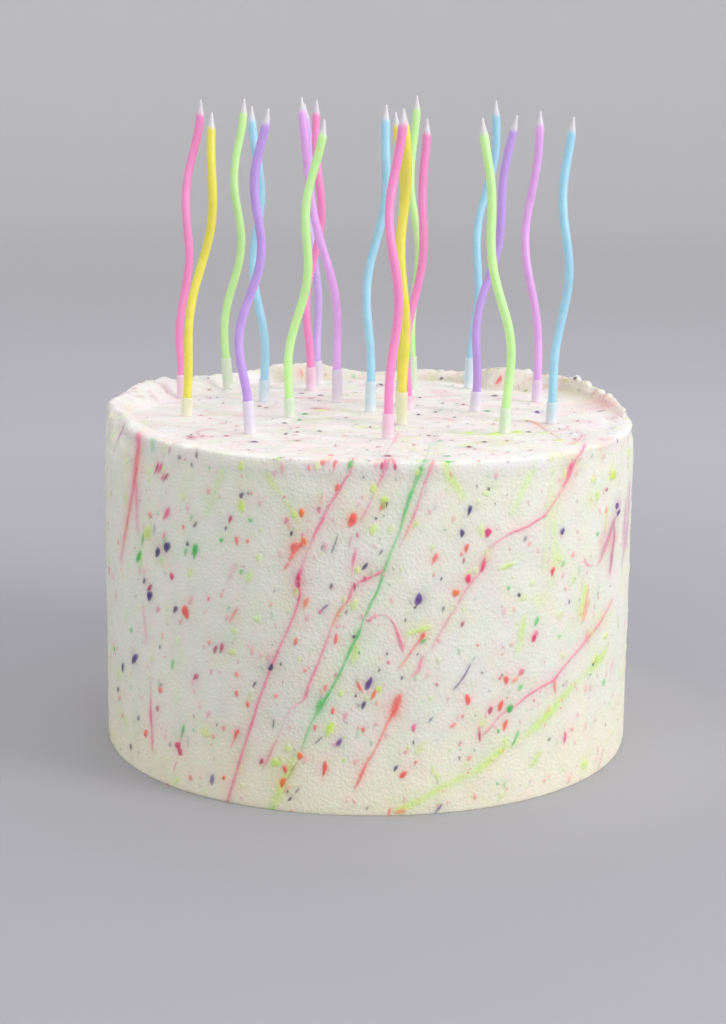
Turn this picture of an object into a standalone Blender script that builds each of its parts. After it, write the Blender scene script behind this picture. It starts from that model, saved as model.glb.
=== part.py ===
"""Birthday cake with twenty wavy candles.

A tall round cake under one coat of pale icing, flat on top, with the ragged
lip that a scraper leaves round the top edge. Twenty thin wavy candles stand
in the top, each in a small plastic cup with a pin that goes into the cake.
The board and the stand are not part of the object.

Units are metres, +Z is up and the origin is the centre of the flat base.
The front of the cake faces -Y.
"""
import math

import bmesh
import bpy
from mathutils import Vector

MM = 0.001

# ---- the cake ---------------------------------------------------------------
CAKE_RADIUS = 103.6 * MM      # wall of icing
CAKE_HEIGHT = 127.5 * MM      # base to the flat top
BASE_ROUND = 1.6 * MM         # small rounding where the wall meets the base
CREASE_DROP = 4.5 * MM        # where the lip starts, below the flat top
LIP_FRONT = 1.3 * MM          # height of the lip along the smooth front edge
AROUND = 84                   # sections round the cake

# Where the lip stands up: direction in degrees (0 = +X, 90 = back),
# spread in degrees and extra height in mm.
LIP_CRESTS = (
    (186, 13, 3.2),
    (157, 12, 4.8),
    (127, 15, 2.8),
    (107, 9, 4.4),
    (74, 9, 2.6),
    (50, 11, 6.2),
    (31, 8, 6.0),
    (10, 12, 3.4),
)
# Thickness of the lip at the same kind of stations, in mm.
LIP_THICK_FRONT = 13.0
LIP_THICK = (
    (45, 40, -7.5),
    (125, 30, -4.0),
)
# Where the lip hangs out over the wall, in mm.
LIP_BULGE = (
    (200, 20, 0.9),
    (270, 50, 0.4),
    (30, 30, 0.3),
)

# ---- the candles --------------------------------------------------------------
WAX_RADIUS = 1.7 * MM
FOOT_RADIUS = 1.25 * MM       # the shaved foot that fits the cup
TIP_RADIUS = 0.55 * MM
TIP_LENGTH = 6.6 * MM         # the tapered end
SHORT_WAVE = 56.0 * MM        # the two wave lengths of every candle
LONG_WAVE = 112.0 * MM
SHORT_SWING = 1.8 * MM        # full swing of each wave, shared between
LONG_SWING = 2.3 * MM         # the sideways and the depth direction
STEP = 9.6 * MM               # spacing of the centreline's points

# ---- the cups -------------------------------------------------------------------
CUP_BOTTOM = 0.65 * MM
CUP_RADIUS = 2.2 * MM
BORE_RADIUS = 1.72 * MM
BORE_FLOOR = 2.6 * MM
PIN_RADIUS = 1.25 * MM
PIN_DEPTH = 8.0 * MM
HOLE_RADIUS = 1.78 * MM
HOLE_DEPTH = 8.6 * MM
CUP_SIDES = 8

# One row a candle: wax, foot x and y (mm), height of the tip over the flat top
# (mm), height of its cup's rim over the flat top (mm; they are pushed in to
# different depths), lean (mm for each mm), then swing (mm) and phase (degrees)
# of the short and of the long wave, as seen from the front.
CANDLES = (
    ("pink", -76.4, 33.9, 120.2, 10.2, 0.072, 1.4, 80, 0.6, 10),
    ("yellow", -70.9, -10.9, 116.5, 8.2, 0.091, 0.8, 330, 2.3, 180),
    ("green", -59.5, 59.1, 120.3, 13.6, 0.066, 1.7, 65, 1.3, 255),
    ("blue", -43.1, 28.1, 118.2, 9.5, -0.044, 1.4, 275, 1.2, 115),
    ("purple", -44.0, -46.2, 119.1, 13.0, 0.068, 2.3, 30, 1.0, 175),
    ("violet", -13.0, 28.9, 121.7, 13.9, -0.135, 0.6, 170, 2.3, 325),
    ("pink", -24.6, 58.6, 120.3, 10.3, 0.016, 1.1, 0, 2.1, 185),
    ("green", -30.6, -10.8, 114.4, 8.6, 0.113, 1.7, 100, 0.3, 270),
    ("lavender", -22.1, 75.0, 118.3, 10.6, -0.056, 0.8, 190, 0.5, 345),
    ("blue", 0.3, 5.7, 119.8, 12.8, 0.042, 0.9, 295, 2.2, 130),
    ("pink", 6.9, -53.7, 119.7, 10.1, 0.035, 1.1, 110, 1.8, 340),
    ("yellow", 12.5, -21.9, 118.4, 13.0, -0.011, 0.9, 200, 0.4, 80),
    ("green", 18.3, 66.0, 122.3, 14.3, 0.002, 1.1, 75, 1.3, 300),
    ("pink", 15.7, 12.7, 114.4, 6.0, 0.049, 1.0, 80, 1.5, 210),
    ("blue", 42.2, 70.5, 120.7, 13.4, 0.071, 1.2, 190, 1.3, 85),
    ("green", 50.4, -40.5, 116.3, 10.5, -0.099, 1.4, 230, 1.5, 350),
    ("purple", 41.8, 9.2, 116.3, 8.7, 0.12, 1.4, 30, 1.1, 160),
    ("orchid", 68.6, 36.5, 117.4, 9.5, -0.019, 0.7, 220, 2.8, 55),
    ("blue", 70.0, -16.4, 116.4, 9.0, 0.046, 1.1, 85, 1.6, 300),
    ("yellow", 12.8, 23.3, 116.7, 10.5, -0.036, 0.9, 255, 1.1, 160),
)

WAX_COLOURS = {
    "pink": (0.90, 0.24, 0.52),
    "yellow": (0.86, 0.76, 0.10),
    "green": (0.50, 0.86, 0.30),
    "blue": (0.34, 0.66, 0.86),
    "purple": (0.50, 0.33, 0.78),
    "violet": (0.66, 0.38, 0.80),
    "orchid": (0.70, 0.36, 0.80),
    "lavender": (0.58, 0.42, 0.76),
}
ICING_COLOUR = (0.86, 0.84, 0.78)


# ---- helpers ----------------------------------------------------------------------
def clear_scene():
    for obj in list(bpy.data.objects):
        bpy.data.objects.remove(obj, do_unlink=True)


def new_collection(name):
    coll = bpy.data.collections.new(name)
    bpy.context.scene.collection.children.link(coll)
    return coll


def principled(name, colour, roughness, metallic=0.0):
    mat = bpy.data.materials.new(name)
    mat.use_nodes = True
    shader = mat.node_tree.nodes["Principled BSDF"]
    shader.inputs["Base Color"].default_value = (*colour, 1.0)
    shader.inputs["Roughness"].default_value = roughness
    shader.inputs["Metallic"].default_value = metallic
    mat.diffuse_color = (*colour, 1.0)
    return mat


def turned_mesh(name, profile, steps):
    """Turn a profile of (radius, height) points about Z with a Screw modifier."""
    mesh = bpy.data.meshes.new(name)
    mesh.from_pydata([(r, 0.0, z) for r, z in profile],
                     [(i, i + 1) for i in range(len(profile) - 1)], [])
    obj = bpy.data.objects.new(name, mesh)
    bpy.context.scene.collection.objects.link(obj)
    screw = obj.modifiers.new("turn", "SCREW")
    screw.axis = "Z"
    screw.angle = math.tau
    screw.steps = screw.render_steps = steps
    screw.use_merge_vertices = True
    screw.merge_threshold = 0.00001
    graph = bpy.context.evaluated_depsgraph_get()
    solid = bpy.data.meshes.new_from_object(obj.evaluated_get(graph))
    solid.name = name
    bpy.data.objects.remove(obj, do_unlink=True)
    return solid


def add_object(coll, name, mesh, material):
    obj = bpy.data.objects.new(name, mesh)
    mesh.materials.clear()
    mesh.materials.append(material)
    coll.objects.link(obj)
    return obj


def bump(angle, centre, spread):
    """1 at the centre direction, falling smoothly to 0; degrees, wraps round."""
    gap = (angle - centre + 180.0) % 360.0 - 180.0
    return math.exp(-(gap / spread) ** 2)


def smooth(t):
    t = min(max(t, 0.0), 1.0)
    return t * t * (3.0 - 2.0 * t)


# ---- the cake's section -----------------------------------------------------------
def lip_height(deg):
    """Height of the lip over the flat top: low in front, ragged at the back."""
    rise = sum(high * bump(deg, at, spread) for at, spread, high in LIP_CRESTS)
    a = math.radians(deg)
    ragged = 0.10 * rise * (math.sin(13 * a + 0.6) + 0.7 * math.sin(19 * a))
    soft = 0.25 * math.sin(5 * a + 1.0)
    return LIP_FRONT + (rise + ragged + soft) * MM


def lip_thickness(deg):
    extra = sum(wide * bump(deg, at, spread) for at, spread, wide in LIP_THICK)
    return (LIP_THICK_FRONT + extra) * MM


def lip_overhang(deg):
    return sum(out * bump(deg, at, spread) for at, spread, out in LIP_BULGE) * MM


def wall_radius(deg):
    """The wall is scraped almost true, within a few tenths of a millimetre."""
    a = math.radians(deg)
    return CAKE_RADIUS + (0.25 * math.sin(2 * a + 0.4) + 0.2 * math.sin(5 * a)) * MM


def cake_section(deg):
    """Radius and height of each ring at one direction, top centre to base centre."""
    rad = wall_radius(deg)
    high = lip_height(deg)
    thick = lip_thickness(deg)
    out = lip_overhang(deg)
    top = CAKE_HEIGHT
    return (
        (0.0, top),
        (rad - thick, top),
        (rad - 0.72 * thick, top + 0.45 * high),
        (rad - 0.50 * thick, top + 0.90 * high),
        (rad - 0.30 * thick, top + 1.00 * high),
        (rad - 0.12 * thick, top + 0.80 * high),
        (rad + 0.6 * out, top + 0.30 * high - 0.4 * MM),
        (rad + out, top - 2.0 * MM),
        (rad + 0.2 * out, top - CREASE_DROP),
        (rad, top - 12.0 * MM),
        (rad, 0.60 * top),
        (rad, 0.25 * top),
        (rad, 2.2 * BASE_ROUND),
        (rad - 0.3 * BASE_ROUND, 0.4 * BASE_ROUND),
        (rad - BASE_ROUND, 0.0),
        (0.0, 0.0),
    )


def build_cake_mesh():
    """Turn a plain section, then give every ring its radius and height by direction."""
    plain = cake_section(0.0)
    mesh = turned_mesh("cake", plain, AROUND)
    bm = bmesh.new()
    bm.from_mesh(mesh)
    for vert in bm.verts:
        r = math.hypot(vert.co.x, vert.co.y)
        ring = min(range(len(plain)),
                   key=lambda k: (plain[k][0] - r) ** 2 + (plain[k][1] - vert.co.z) ** 2)
        if r < 1e-6:
            vert.co = Vector((0.0, 0.0, plain[ring][1]))
            continue
        a = math.atan2(vert.co.y, vert.co.x)
        radius, z = cake_section(math.degrees(a) % 360.0)[ring]
        vert.co = Vector((radius * math.cos(a), radius * math.sin(a), z))
    # the flat top and the flat base become one face each
    for level in (CAKE_HEIGHT, 0.0):
        disc = [f for f in bm.faces if all(abs(v.co.z - level) < 1e-6 for v in f.verts)]
        bmesh.ops.dissolve_faces(bm, faces=disc, use_verts=False)
    # keep the base centred under the origin
    lo = [min(v.co[i] for v in bm.verts) for i in (0, 1)]
    hi = [max(v.co[i] for v in bm.verts) for i in (0, 1)]
    shift = Vector((-(lo[0] + hi[0]) / 2, -(lo[1] + hi[1]) / 2, 0.0))
    bmesh.ops.translate(bm, verts=bm.verts, vec=shift)
    bm.to_mesh(mesh)
    bm.free()
    return mesh


# ---- a candle's centreline ------------------------------------------------------------
def candle_path(row, number):
    """A function of height over the flat top that gives the centreline's point."""
    _, foot_x, foot_y, _, rim, lean, swing_s, phase_s, swing_l, phase_l = row
    rim = rim * MM
    ks, kl = math.tau / SHORT_WAVE, math.tau / LONG_WAVE
    ps, pl = math.radians(phase_s), math.radians(phase_l)
    side_s, side_l = swing_s * MM, swing_l * MM
    deep_s = math.sqrt(max((0.5 * MM) ** 2, SHORT_SWING ** 2 - side_s ** 2))
    deep_l = math.sqrt(max((0.5 * MM) ** 2, LONG_SWING ** 2 - side_l ** 2))
    lean_y = 0.02 * math.sin(2.4 * number)

    def wave(z):
        return (lean * z + side_s * math.sin(ks * z + ps)
                + side_l * math.sin(kl * z + pl))

    slope = (lean + side_s * ks * math.cos(ks * rim + ps)
             + side_l * kl * math.cos(kl * rim + pl))
    foot_wave = wave(rim) - slope * rim

    def point(z):
        free = max(z - rim, 0.0)
        x = foot_x * MM - foot_wave
        x += wave(z) if free else wave(rim) + slope * (z - rim)
        ease = smooth(free / (22.0 * MM))
        y = foot_y * MM + lean_y * free + ease * (
            deep_s * math.cos(ks * z + ps) + deep_l * math.cos(kl * z + pl))
        return Vector((x, y, CAKE_HEIGHT + z))

    return point, Vector((slope, 0.0, 1.0)).normalized()


def build_candle(coll, name, row, number, material):
    point, _ = candle_path(row, number)
    tip, rim = row[3] * MM, row[4] * MM
    stops = [(BORE_FLOOR + 0.45 * MM, FOOT_RADIUS), (rim + 0.15 * MM, FOOT_RADIUS),
             (rim + 0.5 * MM, WAX_RADIUS)]
    first, last = rim + 0.5 * MM, tip - TIP_LENGTH
    count = round((last - first) / STEP)
    stops += [(first + (last - first) * i / count, WAX_RADIUS) for i in range(1, count + 1)]
    stops.append((tip, TIP_RADIUS))

    curve = bpy.data.curves.new(name, "CURVE")
    curve.dimensions = "3D"
    curve.bevel_depth = WAX_RADIUS
    curve.bevel_resolution = 2
    curve.use_fill_caps = True
    spline = curve.splines.new("POLY")
    spline.points.add(len(stops) - 1)
    for pt, (z, radius) in zip(spline.points, stops):
        pt.co = (*point(z), 1.0)
        pt.radius = radius / WAX_RADIUS
    curve.materials.append(material)
    obj = bpy.data.objects.new(name, curve)
    coll.objects.link(obj)
    return obj


def cup_profile(rim):
    """From the bore's floor, up and over the rim, down the outside to the pin's end."""
    return (
        (0.0, BORE_FLOOR),
        (BORE_RADIUS, BORE_FLOOR),
        (BORE_RADIUS, rim),
        (CUP_RADIUS, rim),
        (CUP_RADIUS, CUP_BOTTOM),
        (PIN_RADIUS, CUP_BOTTOM),
        (PIN_RADIUS, -PIN_DEPTH + 1.2 * MM),
        (0.0, -PIN_DEPTH),
    )


def main():
    clear_scene()
    parts = new_collection("birthday_cake_with_candles")
    cutters = new_collection("cutters")

    icing = principled("icing", ICING_COLOUR, 0.6)
    wax = {key: principled("wax_" + key, rgb, 0.4) for key, rgb in WAX_COLOURS.items()}
    cup_mats = {key: principled("cup_" + key, tuple(0.62 + 0.33 * c for c in rgb), 0.35)
                for key, rgb in WAX_COLOURS.items()}

    cake = add_object(parts, "cake", build_cake_mesh(), icing)
    cake.data.shade_smooth()
    cake.data.set_sharp_from_angle(angle=math.radians(40))

    holes = bmesh.new()
    for number, row in enumerate(CANDLES, start=1):
        colour = row[0]
        label = "%02d_%s" % (number, colour)
        build_candle(parts, "candle_" + label, row, number, wax[colour])

        _, direction = candle_path(row, number)
        foot = Vector((row[1] * MM, row[2] * MM, CAKE_HEIGHT))
        turn = Vector((0.0, 0.0, 1.0)).rotation_difference(direction)
        cup_mesh = turned_mesh("holder_" + label, cup_profile(row[4] * MM), CUP_SIDES)
        cup = add_object(parts, "holder_" + label, cup_mesh, cup_mats[colour])
        cup.location = foot
        cup.rotation_mode = "QUATERNION"
        cup.rotation_quaternion = turn

        ring = bmesh.ops.create_cone(
            holes, cap_ends=True, cap_tris=False, segments=CUP_SIDES,
            radius1=HOLE_RADIUS, radius2=HOLE_RADIUS, depth=HOLE_DEPTH + 3.0 * MM)
        bmesh.ops.translate(holes, verts=ring["verts"],
                            vec=Vector((0, 0, (3.0 * MM - HOLE_DEPTH) / 2)))
        bmesh.ops.rotate(holes, verts=ring["verts"], cent=(0, 0, 0),
                         matrix=turn.to_matrix())
        bmesh.ops.translate(holes, verts=ring["verts"], vec=foot)

    hole_mesh = bpy.data.meshes.new("candle_holes")
    holes.to_mesh(hole_mesh)
    holes.free()
    hole_obj = bpy.data.objects.new("candle_holes", hole_mesh)
    hole_obj.hide_render = True
    hole_obj.display_type = "WIRE"
    cutters.objects.link(hole_obj)

    cut = cake.modifiers.new("candle_holes", "BOOLEAN")
    cut.operation = "DIFFERENCE"
    cut.solver = "EXACT"
    cut.object = hole_obj


main()
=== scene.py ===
"""Looks for the birthday cake with candles: icing, splashed colour, wax, cups, stage."""

import math

import bpy
import numpy as np
from mathutils import Matrix, Vector


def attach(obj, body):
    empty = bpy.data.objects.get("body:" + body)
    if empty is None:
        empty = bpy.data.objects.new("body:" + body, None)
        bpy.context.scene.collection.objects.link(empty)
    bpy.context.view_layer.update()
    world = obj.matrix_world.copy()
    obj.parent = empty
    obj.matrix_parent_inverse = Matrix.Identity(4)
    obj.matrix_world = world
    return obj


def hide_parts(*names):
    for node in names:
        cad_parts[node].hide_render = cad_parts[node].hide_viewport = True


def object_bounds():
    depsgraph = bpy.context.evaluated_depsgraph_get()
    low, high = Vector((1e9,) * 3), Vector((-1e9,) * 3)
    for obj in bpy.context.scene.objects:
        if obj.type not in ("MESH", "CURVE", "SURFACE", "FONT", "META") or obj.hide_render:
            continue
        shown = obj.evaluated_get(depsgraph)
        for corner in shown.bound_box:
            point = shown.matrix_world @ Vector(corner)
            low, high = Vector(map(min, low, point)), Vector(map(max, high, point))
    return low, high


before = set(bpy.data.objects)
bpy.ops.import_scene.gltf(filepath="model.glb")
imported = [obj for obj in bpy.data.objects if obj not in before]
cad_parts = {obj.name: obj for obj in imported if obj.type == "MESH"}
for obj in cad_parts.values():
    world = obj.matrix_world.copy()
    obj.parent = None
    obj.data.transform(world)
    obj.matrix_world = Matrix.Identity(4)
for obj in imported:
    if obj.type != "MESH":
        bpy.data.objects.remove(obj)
cad_lo, cad_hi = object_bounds()

MM = 0.001

# =============================================================================
# sizes, repeated from the CAD source (millimetres and degrees)
# =============================================================================
CAKE_RADIUS = 103.6
CAKE_HEIGHT = 127.5
BASE_ROUND = 0.6
AROUND = 84
LIP_THICK_FRONT = 13.0
LIP_CRESTS = ((186, 13, 3.2), (157, 12, 4.8), (127, 15, 2.8), (107, 9, 4.4),
              (74, 9, 2.6), (50, 11, 6.2), (31, 8, 6.0), (10, 12, 3.4))
LIP_THICK = ((45, 40, -7.5), (125, 30, -4.0))
LIP_BULGE = ((270, 50, 0.4), (30, 30, 0.3), (192, 26, -0.7), (201, 10, -2.2), (2, 14, -2.0))
CAD_BULGE = ((200, 20, 0.9), (270, 50, 0.4), (30, 30, 0.3))

WAX_RADIUS = 1.7
TIP_LENGTH = 6.6
SHORT_WAVE = 56.0
LONG_WAVE = 112.0
SHORT_SWING = 1.8
LONG_SWING = 2.3
CUP_BOTTOM = 0.65
CUP_RADIUS = 2.2
BORE_RADIUS = 1.72
BORE_FLOOR = 2.6
PIN_RADIUS = 1.25
PIN_DEPTH = 8.0

CANDLES = (
    ("pink", -76.4, 33.9, 120.2, 10.2, 0.072, 1.4, 80, 0.6, 10),
    ("yellow", -70.9, -10.9, 116.5, 8.2, 0.091, 0.8, 330, 2.3, 180),
    ("green", -59.5, 59.1, 120.3, 13.6, 0.066, 1.7, 65, 1.3, 255),
    ("blue", -43.1, 28.1, 118.2, 9.5, -0.044, 1.4, 275, 1.2, 115),
    ("purple", -44.0, -46.2, 119.1, 13.0, 0.068, 2.3, 30, 1.0, 175),
    ("violet", -13.0, 28.9, 121.7, 13.9, -0.135, 0.6, 170, 2.3, 325),
    ("pink", -24.6, 58.6, 120.3, 10.3, 0.016, 1.1, 0, 2.1, 185),
    ("green", -30.6, -10.8, 114.4, 8.6, 0.113, 1.7, 100, 0.3, 270),
    ("lavender", -22.1, 75.0, 118.3, 10.6, -0.056, 0.8, 190, 0.5, 345),
    ("blue", 0.3, 5.7, 119.8, 12.8, 0.042, 0.9, 295, 2.2, 130),
    ("pink", 6.9, -53.7, 119.7, 10.1, 0.035, 1.1, 110, 1.8, 340),
    ("yellow", 12.5, -21.9, 118.4, 13.0, -0.011, 0.9, 200, 0.4, 80),
    ("green", 18.3, 66.0, 122.3, 14.3, 0.002, 1.1, 75, 1.3, 300),
    ("pink", 15.7, 12.7, 114.4, 6.0, 0.049, 1.0, 80, 1.5, 210),
    ("blue", 42.2, 70.5, 120.7, 13.4, 0.071, 1.2, 190, 1.3, 85),
    ("green", 50.4, -40.5, 116.3, 10.5, -0.099, 1.4, 230, 1.5, 350),
    ("purple", 41.8, 9.2, 116.3, 8.7, 0.12, 1.4, 30, 1.1, 160),
    ("orchid", 68.6, 36.5, 117.4, 9.5, -0.019, 0.7, 220, 2.8, 55),
    ("blue", 70.0, -16.4, 116.4, 9.0, 0.046, 1.1, 85, 1.6, 300),
    ("yellow", 12.8, 23.3, 116.7, 10.5, -0.036, 0.9, 255, 1.1, 160),
)

# Height of the lip over the flat top by direction (degrees, mm).
LIP = (
    (2, 1.7), (7, 2.6), (12, 3.8), (16, 4.5), (20, 4.8), (24, 5.7), (28, 6.8), (31, 7.4), (34, 7.3), (38, 7.0),
    (42, 7.0), (47, 6.7), (51, 7.4), (55, 7.6), (61, 5.9), (65, 4.2), (72, 4.6), (78, 3.6), (85, 2.3),
    (90, 1.8), (95, 3.0), (99, 4.3), (102, 5.5), (107, 6.1), (110, 6.2), (114, 5.8), (116, 4.5),
    (122, 4.0), (127, 4.0), (133, 4.2), (138, 4.1), (144, 2.4), (147, 4.0), (149, 6.0), (152, 6.4),
    (156, 6.7), (161, 6.5), (166, 5.6), (171, 4.4), (178, 4.9), (186, 5.6), (194, 4.0), (202, 3.0),
    (211, 2.6), (222, 1.9), (229, 1.7), (233, 2.2), (244, 1.4), (261, 1.9), (278, 1.3), (290, 0.8),
    (303, 0.5), (316, 0.5), (332, 0.7), (345, 0.9), (354, 1.1),
)

# Distance from the wall to the inner foot of the lip, by direction (degrees, mm).
FOOT = (
    (0, 9.6), (8, 11.0), (16, 14.0), (25, 15.0), (33, 15.0), (38, 13.5), (42, 12.0), (46, 13.0), (51, 16.5),
    (55, 17.5), (59, 13.0), (63, 10.0), (70, 8.2), (77, 8.6), (85, 9.4), (95, 9.4), (105, 10.5),
    (115, 11.0), (125, 12.0), (135, 15.0), (145, 16.0), (155, 18.0), (166, 18.5), (175, 16.0), (182, 9.5),
    (190, 11.0), (200, 13.0), (215, 14.0), (230, 15.0), (250, 15.0), (275, 15.0), (300, 14.0), (325, 12.0),
    (345, 10.0), (353, 9.4),
)

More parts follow.
